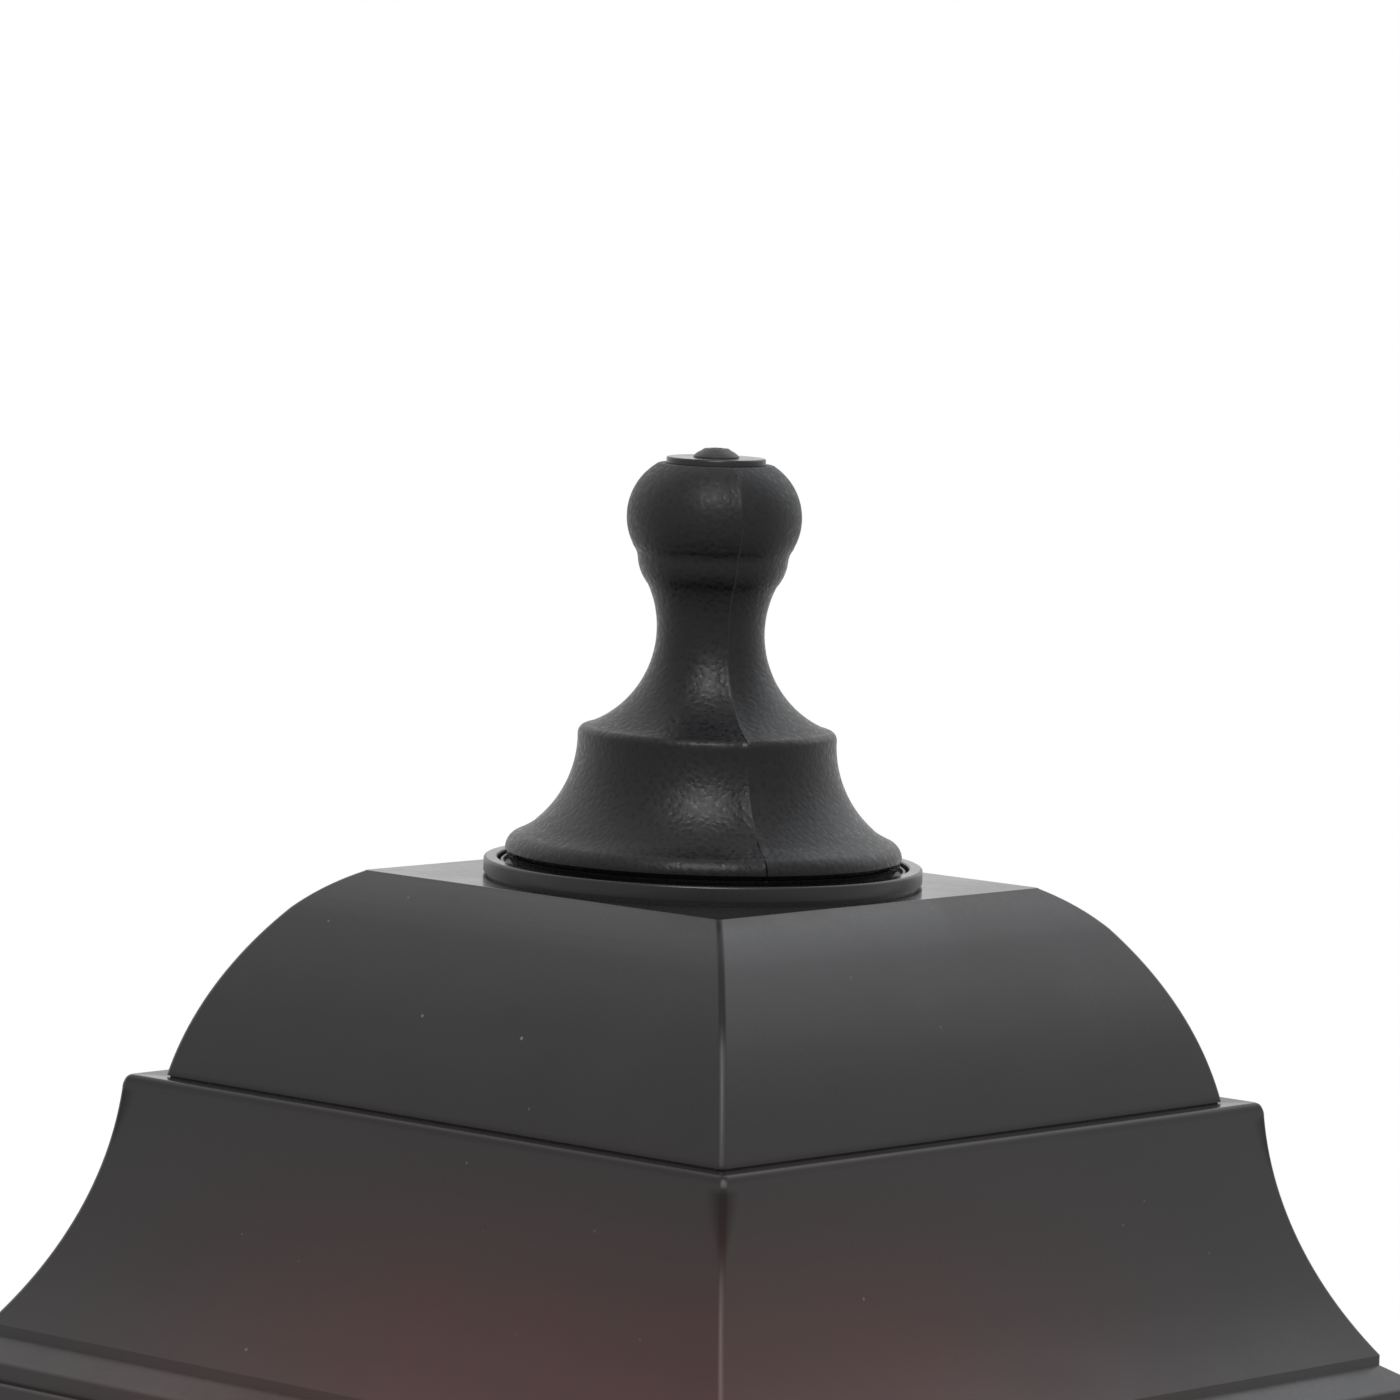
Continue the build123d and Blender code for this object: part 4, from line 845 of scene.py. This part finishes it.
class LAMP_OT_roof(bpy.types.Operator):
    """The roof's mitred shell, with a round hole in its top plate for the collar's spigot"""

    bl_idname = "lamp.roof"
    bl_label = "Roof"
    bl_options = {"REGISTER", "UNDO"}

    def execute(self, context):
        look = context.scene.lamp_roof
        bm = roof_outline(look.edge / MM).four_sided(look.arris / MM)
        for height in (TIER_HEIGHT, TIER_HEIGHT - ROOF_WALL):
            square = open_at(bm, height)
            turned = Matrix.Translation((0, 0, height)) @ Matrix.Rotation(pi / 4, 4, "Z")
            bmesh.ops.bridge_loops(bm, edges=square + ring(bm, 32, SPIGOT_HOLE, turned))
        bmesh.ops.bridge_loops(bm, edges=rims(bm))
        piece(placed(bm, LEDGE), "roof_moulding", "roof_shell")
        return {"FINISHED"}


# Finial, collar, seal, washer and cap screw
PARTING_STEPS = 128


class LAMP_OT_finial(bpy.types.Operator):
    """The hollow grained finial, with heights above its foot"""

    bl_idname = "lamp.finial"
    bl_label = "Finial"
    bl_options = {"REGISTER", "UNDO"}

    def execute(self, context):
        ball, neck, skirt, bead = (3.95, 53.8), (24.02, 36.5), (37.1, 19.9), (27.6, 2.5)
        ball_radius, neck_radius, skirt_radius, bead_radius = 9.43, 15.8, 17.4, hypot(1.0, 2.5)
        top, wall, bore, hole, shoulder, hip = 61.9, 2.5, 5.72, 2.2, 18.4, 17.25
        crown = beside(ball, ball_radius, top, 1)
        line = Outline(hole, top).to(crown - 0.4, top).bow(crown + 0.35, top - 0.28, 0.09, 3)
        line.swing(ball, beside(ball, ball_radius, 49.2, 1), 49.2, 32).bow(11.45, 47.3, -0.17, 6)
        line.bow(beside(neck, neck_radius, 43.4), 43.4, 0.32, 7)
        line.swing(neck, shoulder, under(neck, neck_radius, shoulder), 30)
        line.bow(19.75, 20.35, 0.42, 6).swing(skirt, beside(skirt, skirt_radius, 6.4), 6.4, 26)
        line.bow(28.94, 4.83, -0.1, 5)
        groove_top, groove_foot, groove_floor, foot_rim = 2.45, 1.66, 28.5, 28.6
        flange = beside(bead, bead_radius, groove_foot, 1)
        line.swing(bead, bead[0] + bead_radius, groove_top, 14).to(groove_floor, groove_top - 0.1)
        line.to(groove_floor, groove_foot).to(flange - 0.1, groove_foot)
        line.swing(bead, foot_rim, 0.0, 9)
        mouth, inner_neck, inner_skirt = foot_rim - wall, neck_radius + wall, skirt_radius + wall
        line.to(mouth, 0.0).to(mouth, under(skirt, inner_skirt, mouth))
        hip_height = under(neck, inner_neck, hip)
        line.swing(skirt, beside(skirt, inner_skirt, hip_height), hip_height, 12)
        line.to(hip, hip_height).swing(neck, bore, neck[1], 12)
        line.to(bore, top - 5.0).to(hole, top - 5.0)
        bm = line.close().turned(PARTING_STEPS)
        self.raise_parting_line(bm, context.scene.lamp_finial.parting / MM)
        piece(placed(bm, foot("finial")), "finial_moulding", "finial")
        return {"FINISHED"}

    def raise_parting_line(self, bm, proud):
        """A fine ridge down both sides, where the mould's halves met, and a crease at its foot."""
        line_top, line_width, crease_depth, crease_low, crease_high = 61.0, 0.14, 0.22, 1.5, 7.6
        azimuth = radians(PARTING_AZIMUTH)
        rotated(bm, azimuth, "Z")
        bmesh.ops.recalc_face_normals(bm, faces=bm.faces)
        bm.normal_update()
        along = Vector((cos(azimuth), sin(azimuth), 0))
        outside = [v for v in bm.verts if v.normal.xy.dot(v.co.xy) > 0 and v.co.z < line_top]
        on_line = {v for v in outside if abs(abs(v.co.xy.normalized().dot(along.xy)) - 1) < 0.00001}
        seam = [e for e in bm.edges if set(e.verts) <= on_line]
        for vert in bevelled(bm, seam, line_width):
            if abs(vert.co.xy.normalized().cross(along.xy)) * vert.co.xy.length < 0.05:
                lift = -crease_depth if crease_low < vert.co.z < crease_high else proud
                vert.co += Vector((vert.co.x, vert.co.y, 0)).normalized() * lift


class LAMP_OT_collar(bpy.types.Operator):
    """The collar dish round the finial's foot and the thin seal whose lip shows in the gap"""

    bl_idname = "lamp.collar"
    bl_label = "Collar"
    bl_options = {"REGISTER", "UNDO"}

    def execute(self, context):
        outer, inner, rim, spigot, bore = 33.5, 31.4, 2.7, 9.0, 6.5
        line = Outline(bore, 1.0).to(inner, 1.0).round_corner(inner, rim, 0.3, outer, rim, 4)
        line.round_corner(outer, rim, 0.4, outer, 0.5, 5).to(outer, 0.5).to(32.9, 0.5).to(32.9, 0.0)
        line.to(spigot, 0.0).to(spigot, -2.5).to(bore, -2.5).close()
        piece(placed(line.turned(128), ROOF_TOP), "collar_moulding", "collar_ring")
        lip = Outline(24.0, 0.0).to(30.9, 0.0).round_corner(30.9, 1.2, 0.15, 30.45, 1.2, 3)
        lip.round_corner(30.45, 1.2, 0.15, 30.45, 0.5, 3).to(30.45, 0.5).to(24.0, 0.5).close()
        piece(placed(lip.turned(128), foot("finial_seal")), "seal_lip", "finial_seal")
        return {"FINISHED"}


class LAMP_OT_cap_screw(bpy.types.Operator):
    """The flat washer and the low dome screw that hold the roof down"""

    bl_idname = "lamp.cap_screw"
    bl_label = "Cap Screw"
    bl_options = {"REGISTER", "UNDO"}

    def execute(self, context):
        washer = Outline(2.2, 0.0).to(7.57, 0.0).round_corner(7.57, 1.0, 0.3, 2.2, 1.0, 4)
        bm = placed(washer.to(2.2, 1.0).close().turned(96), foot("penny_washer"))
        piece(bm, "washer_disc", "penny_washer", "black_collar")
        low = foot("cap_screw")
        shank = (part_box("penny_washer")[1].z - low) / MM
        thread_top, pitch = 26.0, 0.7
        bm = crosshead(3.5, 1.4, 0.75, DOME_HEAD)
        lifted(bm, shank)
        plain = Outline(0.0, shank).to(1.98, shank).to(1.98, thread_top).to(0.0, thread_top)
        joined(bm, plain.close().turned(24))
        crests = [(1.62, 0.0), (1.98, 0.44), (1.98, 0.56), (1.62, 1.0)]
        joined(bm, capped(threaded(crests, pitch, 0.0, thread_top, 18)))
        piece(placed(bm, low), "cap_screw_threaded", "cap_screw", "black_painted")
        return {"FINISHED"}


# Arm and base cup
class LAMP_OT_arm(bpy.types.Operator):
    """The tube, bent by spinning its end ring round each bend's centre"""

    bl_idname = "lamp.arm"
    bl_label = "Arm"
    bl_options = {"REGISTER", "UNDO"}

    def execute(self, context):
        radius, wall = 8.0, 1.5
        start_y, bend, u_bend, drop, reach, top = -15.0, 20.0, 30.0, 2.0, 128.0, 4.0
        far_y = -(reach - 2 * u_bend)
        bm = bmesh.new()
        for bore in (radius, radius - wall):
            facing_out = Matrix.Translation((0, start_y, 0)) @ Matrix.Rotation(pi / 2, 4, "X")
            ends = ring(bm, 40, bore, facing_out)
            ends = drawn(bm, ends, (0, far_y + bend - start_y, 0))
            ends = swept(bm, ends, (0, far_y + bend, -bend), pi / 2, 16)
            ends = drawn(bm, ends, (0, 0, -drop))
            ends = swept(bm, ends, (0, far_y - u_bend, -bend - drop), -pi, 36)
            drawn(bm, ends, (0, 0, top + bend + drop))
        open_edges = rims(bm)
        for at_wall in (True, False):
            pair = [e for e in open_edges if (e.verts[0].co.y > start_y - 1) == at_wall]
            bmesh.ops.bridge_loops(bm, edges=pair)
        piece(placed(bm, 0.0, 0.0, 0.0), "arm_bent_tube", "arm_tube", "black_painted")
        return {"FINISHED"}


class LAMP_OT_base_cup(bpy.types.Operator):
    """The turned cup between arm and pan, with heights above its foot"""

    bl_idname = "lamp.base_cup"
    bl_label = "Base Cup"
    bl_options = {"REGISTER", "UNDO"}

    def execute(self, context):
        cove, outer, step = (23.4, 4.0), 13.0, 16.87
        inner, lip = outer + 2.5, beside(cove, outer, step)
        line = Outline(23.0, 20.0).round_corner(25.5, 20.0, 0.4, 25.5, 17.0, 3)
        line.round_corner(25.5, step, 0.5, lip, step, 3).to(lip, step)
        line.swing(cove, 10.4, 4.0, 18).bow(10.4, 0.3, 1.05, 8).to(10.1, 0.0).to(8.1, 0.0)
        line.to(8.1, 10.0).to(5.2, 10.0).to(5.2, 12.5).to(beside(cove, inner, 12.5), 12.5)
        line.swing(cove, beside(cove, inner, 18.9), 18.9, 10).to(23.0, 18.9).close()
        bm = placed(line.turned(96), foot("base_cup"))
        piece(bm, "base_cup_turned", "base_cup", "black_moulding")
        return {"FINISHED"}


class LAMP_OT_rosette(bpy.types.Operator):
    """The turned cover where the arm leaves the wall plate"""

    bl_idname = "lamp.rosette"
    bl_label = "Rosette"
    bl_options = {"REGISTER", "UNDO"}

    def execute(self, context):
        depth = 22.0
        line = Outline(8.1, depth + 6.0).round_corner(11.0, depth + 6.0, 0.5, 12.0, depth + 5.0, 3)
        line.bow(19.0, depth + 2.0, -1.1, 8).bow(21.0, depth, 0.6, 6).to(8.1, depth).close()
        bm = line.turned(96)
        rotated(bm, pi / 2, "X")
        piece(placed(bm, 0.0, 0.0, 0.0), "arm_rosette_turned", "arm_rosette", "black_moulding")
        return {"FINISHED"}


# Cage and wall plate: the CAD's mouldings with rounded edges, and screws with real recesses
def screws(node, name, radius=2.8, height=2.0):
    """One piece for all the screws of a CAD node, each with a shank, a round head and a recess.

    The lower post screws point up, so that their heads are below.
    """
    bm = bmesh.new()
    for low, high in solids(node):
        mid = (low + high) / 2
        length = (high.z - low.z) / MM - height
        screw = crosshead(radius, height, height * 0.6)
        lifted(screw, length)
        shank = Outline(0.0, length).to(1.4, length).to(1.4, 1.2).to(0.3, 0.0).to(0.0, 0.0)
        joined(screw, shank.close().turned(16))
        if node == "post_screws_lower":
            rotated(screw, pi, "X")
            lifted(screw, length + height)
        move = Matrix.Translation((mid.x, mid.y, low.z)) @ Matrix.Scale(MM, 4)
        joined(bm, screw, move)
        screw.free()
    piece(bm, name, node)


class LAMP_OT_cage(bpy.types.Operator):
    """Posts, frames, pan, panes and bridge with rounded edges, and the screws between them"""

    bl_idname = "lamp.cage"
    bl_label = "Cage"
    bl_options = {"REGISTER", "UNDO"}

    def execute(self, context):
        edge = context.scene.lamp_cage.edge
        softened(edge, "post_front_left", "post_front_right", "post_back_left", "post_back_right")
        softened(edge, "sill_frame", "base_pan", "top_frame")
        softened(edge * 0.3, "pane_front", "pane_right", "pane_back", "pane_left")
        softened(edge * 0.5, "roof_bridge", "bridge_insert", "nipple_locknut")
        softened(edge * 0.5, "roof_gasket", "screw_retainer")
        screws("post_screws_upper", "upper_crossheads")
        screws("post_screws_lower", "lower_crossheads")
        screws("bridge_screws", "bridge_crossheads")
        return {"FINISHED"}


class LAMP_OT_wall_plate(bpy.types.Operator):
    """The stepped wall plate, the strap behind it and all that they carry, with rounded edges"""

    bl_idname = "lamp.wall_plate"
    bl_label = "Wall Plate"
    bl_options = {"REGISTER", "UNDO"}

    def execute(self, context):
        edge = context.scene.lamp_cage.edge
        softened(edge, "wall_plate")
        softened(edge * 0.5, "wall_strap", "wall_gasket", "stud_washers")
        softened(edge * 0.5, "cable_grommet", "arm_locknut")
        softened(edge * 0.4, "acorn_nuts", "canopy_studs")
        softened(edge * 0.8, "terminal_block")
        return {"FINISHED"}


# Bulb and lampholder, which share the pitch of an Edison screw
E27_PITCH = 3.62


def rolled_wave(root, crest):
    """A rounded thread's profile over one pitch, from root to root."""
    half = [(0.0, 0.0), (0.2, 0.23), (0.38, 0.77), (0.5, 1.0)]
    rise = [(root + (crest - root) * lift, part) for part, lift in half]
    return rise + [(across, 1 - part) for across, part in reversed(rise[:-1])]


class LAMP_OT_bulb(bpy.types.Operator):
    """The blown globe with its wall, the filaments on their leads and the threaded cap"""

    bl_idname = "lamp.bulb"
    bl_label = "Bulb"
    bl_options = {"REGISTER", "UNDO"}

    def execute(self, context):
        self.build_globe()
        self.build_filaments()
        self.build_cap()
        softened(0.0003, "bulb_contact", "bulb_insulator")
        return {"FINISHED"}

    def build_globe(self):
        globe, hip, outside, inside = 74.0, radians(40), 30.0, 29.0
        neck, bore = ((r * cos(hip), globe - r * sin(hip)) for r in (outside, inside))
        line = Outline(0.0, globe + outside).swing((0, globe), *neck, 40)
        line.bow(12.6, 31.0, -1.6, 12).to(12.6, 26.2).to(13.1, 26.0).to(13.1, 25.0)
        line.to(11.6, 25.0).to(11.6, 31.2).bow(*bore, 1.6, 12)
        line.swing((0, globe), 0.0, globe + inside, 40)
        bm = placed(line.turned(96), foot("bulb_contact"))
        piece(bm, "bulb_globe", "bulb_glass", "bulb_glass")

    def build_filaments(self):
        """Round-ended coated sticks, each with a bare metal end below and above."""
        sticks, ends = bmesh.new(), bmesh.new()
        for low, high in solids("led_filaments"):
            mid, length = (low + high) / 2, (high.z - low.z) / MM
            stick = Outline(0.0, length - 1.6).round_corner(0.9, length - 1.6, 0.5, 0.9, 1.6, 4)
            stick = stick.round_corner(0.9, 1.6, 0.5, 0.0, 1.6, 4).to(0.0, 1.6).close().turned(16)
            end = Outline(0.0, length).to(0.4, length).to(0.4, 0.0).to(0.0, 0.0).close().turned(10)
            move = Matrix.Translation((mid.x, mid.y, low.z)) @ Matrix.Scale(MM, 4)
            joined(sticks, stick, move)
            joined(ends, end, move)
        piece(sticks, "filament_sticks", "led_filaments")
        piece(ends, "filament_ends", "filament_leads", in_place=False)

    def build_cap(self):
        """The cap's rolled thread over a smooth collar and cone."""
        bm = thickened(threaded(rolled_wave(12.1, 13.2), E27_PITCH, 6.5, 21.5, 40), 0.35)
        line = Outline(12.7, 25.0).to(13.2, 25.0).to(13.2, 22.4).bow(12.6, 21.3, 0.2, 4)
        line.to(12.1, 21.3).to(12.1, 22.0)
        joined(bm, line.close().turned(64))
        cone = Outline(9.5, 2.5).to(12.2, 5.4).bow(12.75, 6.7, 0.2, 3)
        cone.to(12.3, 6.7).to(11.9, 5.9).to(9.5, 3.5)
        joined(bm, cone.close().turned(64))
        piece(placed(bm, foot("bulb_contact")), "bulb_threaded_cap", "bulb_base", "cap_metal")


class LAMP_OT_lampholder(bpy.types.Operator):
    """The lampholder with its ribbed skirt and threaded sleeve"""

    bl_idname = "lamp.lampholder"
    bl_label = "Lampholder"
    bl_options = {"REGISTER", "UNDO"}

    def execute(self, context):
        self.build_skirt()
        self.build_sleeve()
        softened(0.0004, "holder_cap", "holder_core")
        return {"FINISHED"}

    def build_skirt(self):
        """The tapered skirt, with narrow grips standing round it between two smooth bands."""
        line = Outline(18.0, 20.0).to(20.0, 20.0).to(19.85, 22.0).to(19.55, 26.8).to(19.45, 27.5)
        line.to(19.0, 37.0).to(18.9, 38.0).to(18.6, 42.0)
        line.round_corner(18.4, 47.0, 0.8, 14.25, 47.0, 4)
        line.to(14.25, 47.0).to(14.25, 45.0).to(16.4, 45.0).close()
        columns, sunk_share, grips_from, grips_to = 144, 0.972, 27.2, 37.5
        bm = line.turned(columns)
        for vert in bm.verts:
            column = round(atan2(vert.co.y, vert.co.x) / (2 * pi) * columns)
            if grips_from < vert.co.z < grips_to and column % 4 < 2:
                vert.co.xy *= sunk_share
        piece(placed(bm, foot("holder_cap")), "holder_ribbed_skirt", "holder_skirt")

    def build_sleeve(self):
        low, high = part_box("thread_sleeve")
        wave, height = rolled_wave(13.3, 13.75), (high.z - low.z) / MM
        bm = thickened(threaded(wave, E27_PITCH, 0.0, height, 40), 0.25)
        piece(placed(bm, low.z), "sleeve_rolled_thread", "thread_sleeve")


# Stage
class LAMP_OT_stage(bpy.types.Operator):
    """The floor, the light, the world and the camera at the photograph's angle"""

    bl_idname = "lamp.stage"
    bl_label = "Stage"
    bl_options = {"REGISTER", "UNDO"}

    def execute(self, context):
        look = context.scene.lamp_stage
        build_floor(look)
        build_world(context.scene, look.daylight)
        area_light("Front softbox", (0.48, -0.66, 1.02), 0.50, 7.6)
        area_light("Back softbox", (0.15, 0.70, 0.95), 0.90, 1.85, (0.88, 0.94, 1.0))
        area_light("Left softbox", (-0.95, -0.35, 0.95), 0.80, 0.62, (1.0, 0.96, 0.96))
        build_camera(context.scene)
        return {"FINISHED"}


# The gap between the lamp's lowest point and the floor, in metres
FLOOR_GAP = 0.002


def build_floor(look):
    bm = bmesh.new()
    bmesh.ops.create_circle(bm, cap_ends=True, segments=96, radius=look.floor_radius)
    centre = (0, LANTERN_Y, cad_bounds[0][2] - FLOOR_GAP)
    bmesh.ops.translate(bm, vec=centre, verts=bm.verts)
    mesh = bpy.data.meshes.new("floor")
    bm.to_mesh(mesh)
    bm.free()
    linked("floor", mesh)
    sheet = new_material("Pale floor")
    inner, outer = look.floor_radius * 0.35, look.floor_radius * 0.95
    fade = sheet.spread(sheet.distance(centre), inner, outer)
    matt = sheet.add("BsdfDiffuse", {"Color": opaque(look.floor)})
    clear = sheet.add("BsdfTransparent")
    seen = sheet.add("MixShader", {0: fade, 1: matt.outputs[0], 2: clear.outputs[0]})
    under = sheet.add("NewGeometry").outputs["Backfacing"]
    shown = sheet.add("MixShader", {0: under, 1: seen.outputs[0], 2: clear.outputs[0]})
    mesh.materials.append(sheet.finish(shown))


def build_world(scene, daylight):
    """Even daylight that camera, mirror and glass rays see as white."""
    world = bpy.data.worlds.new("Studio")
    scene.world = world
    world.use_nodes = True
    sheet = Tree(world.node_tree)
    rays = sheet.add("LightPath").outputs
    clear = sheet.maths("MAXIMUM", rays["Is Glossy Ray"], rays["Is Transmission Ray"])
    seen = sheet.maths("MAXIMUM", rays["Is Camera Ray"], clear)
    strength = sheet.spread(seen, 0.0, 1.0, daylight, 1.0)
    light = sheet.add("Background", {"Color": (1.0, 1.0, 1.0, 1.0), "Strength": strength})
    sheet.add("OutputWorld", {"Surface": light.outputs[0]})


def area_light(name, place, width, power, tint=(1.0, 1.0, 1.0)):
    lamp = bpy.data.lights.new(name, "AREA")
    lamp.shape = "SQUARE"
    lamp.size = width
    lamp.energy = power
    lamp.color = tint
    made = linked(name, lamp)
    made.location = place
    aim = Vector((LANTERN_X, LANTERN_Y, middle("roof_shell").z)) - made.location
    made.rotation_euler = aim.to_track_quat("-Z", "Y").to_euler()
    made.visible_camera = False


# Where the photograph was taken from, fitted to the roof's corners
CAMERA_LENS = 194.0
CAMERA_DISTANCE = 1.154
CAMERA_AZIMUTH = 42.18
CAMERA_ELEVATION = 5.2
CAMERA_ROLL = 1.86
PHOTO_WIDTH = 1400
# A point on the lantern's axis, by its depth below the top plate, and where the photograph has it
AIM_DEPTH = 33.2
AIM_PIXEL = (695.6, 1094.3)


def build_camera(scene):
    """A long lens level with the eave, so that the fitted point falls on its own pixel."""
    data = bpy.data.cameras.new("Camera")
    data.sensor_width = 36.0
    data.lens = CAMERA_LENS
    data.clip_end = 50.0
    camera = linked("Camera", data)
    turn, tip, roll = radians(CAMERA_AZIMUTH), radians(CAMERA_ELEVATION), radians(CAMERA_ROLL)
    forward = Vector((-sin(turn) * cos(tip), cos(turn) * cos(tip), -sin(tip)))
    level = Vector((cos(turn), sin(turn), 0))
    upright = level.cross(forward)
    right = level * cos(roll) + upright * sin(roll)
    up = upright * cos(roll) - level * sin(roll)
    focal = CAMERA_LENS / data.sensor_width * PHOTO_WIDTH
    shift_right = (AIM_PIXEL[0] - PHOTO_WIDTH / 2) * CAMERA_DISTANCE / focal
    shift_up = -(AIM_PIXEL[1] - PHOTO_WIDTH / 2) * CAMERA_DISTANCE / focal
    aim = Vector((LANTERN_X, LANTERN_Y, ROOF_TOP - AIM_DEPTH * MM))
    place = aim - forward * CAMERA_DISTANCE - right * shift_right - up * shift_up
    turned = Matrix((right, up, -forward)).transposed().to_4x4()
    camera.matrix_world = Matrix.Translation(place) @ turned
    scene.camera = camera
    scene.view_settings.view_transform = "Standard"


class LAMP_OT_finishes(bpy.types.Operator):
    """Gives every CAD node its finish and fills the list of finishes"""

    bl_idname = "lamp.finishes"
    bl_label = "Finishes"
    bl_options = {"REGISTER", "UNDO"}

    def execute(self, context):
        finishes.update(build_materials(context.scene))
        for name, node in frame["nodes"].items():
            node.data.materials.clear()
            node.data.materials.append(finishes[slot_of(name)])
        return {"FINISHED"}


# In the order the lamp is built
OPERATORS = [
    LAMP_OT_finishes,
    LAMP_OT_stage,
    LAMP_OT_roof,
    LAMP_OT_finial,
    LAMP_OT_collar,
    LAMP_OT_cap_screw,
    LAMP_OT_cage,
    LAMP_OT_lampholder,
    LAMP_OT_bulb,
    LAMP_OT_base_cup,
    LAMP_OT_arm,
    LAMP_OT_rosette,
    LAMP_OT_wall_plate,
]

LOOKS = [
    ("lamp_roof", RoofLook, "Roof"),
    ("lamp_finial", FinialLook, "Finial"),
    ("lamp_cage", CageLook, "Cage"),
    ("lamp_bulb", BulbLook, "Bulb"),
    ("lamp_stage", StageLook, "Stage"),
]


class LAMP_PT_panel(bpy.types.Panel):
    """Sizes, colours and build steps of the wall lamp"""

    bl_label = "Wall Lamp"
    bl_idname = "LAMP_PT_panel"
    bl_space_type = "VIEW_3D"
    bl_region_type = "UI"
    bl_category = "Wall Lamp"

    def draw(self, context):
        for key, look, label in LOOKS:
            box = self.layout.box()
            box.label(text=label)
            for name in look.__annotations__:
                box.prop(getattr(context.scene, key), name)
        for step in OPERATORS:
            self.layout.operator(step.bl_idname)


def register():
    for key, look, _ in LOOKS:
        bpy.utils.register_class(look)
        setattr(bpy.types.Scene, key, bpy.props.PointerProperty(type=look))
    for made in OPERATORS + [LAMP_PT_panel]:
        bpy.utils.register_class(made)


def unregister():
    for made in reversed(OPERATORS + [LAMP_PT_panel]):
        bpy.utils.unregister_class(made)
    for key, look, _ in reversed(LOOKS):
        delattr(bpy.types.Scene, key)
        bpy.utils.unregister_class(look)


def main():
    register()
    for step in OPERATORS:
        group, name = step.bl_idname.split(".")
        getattr(getattr(bpy.ops, group), name)()


if __name__ == "__main__":
    main()
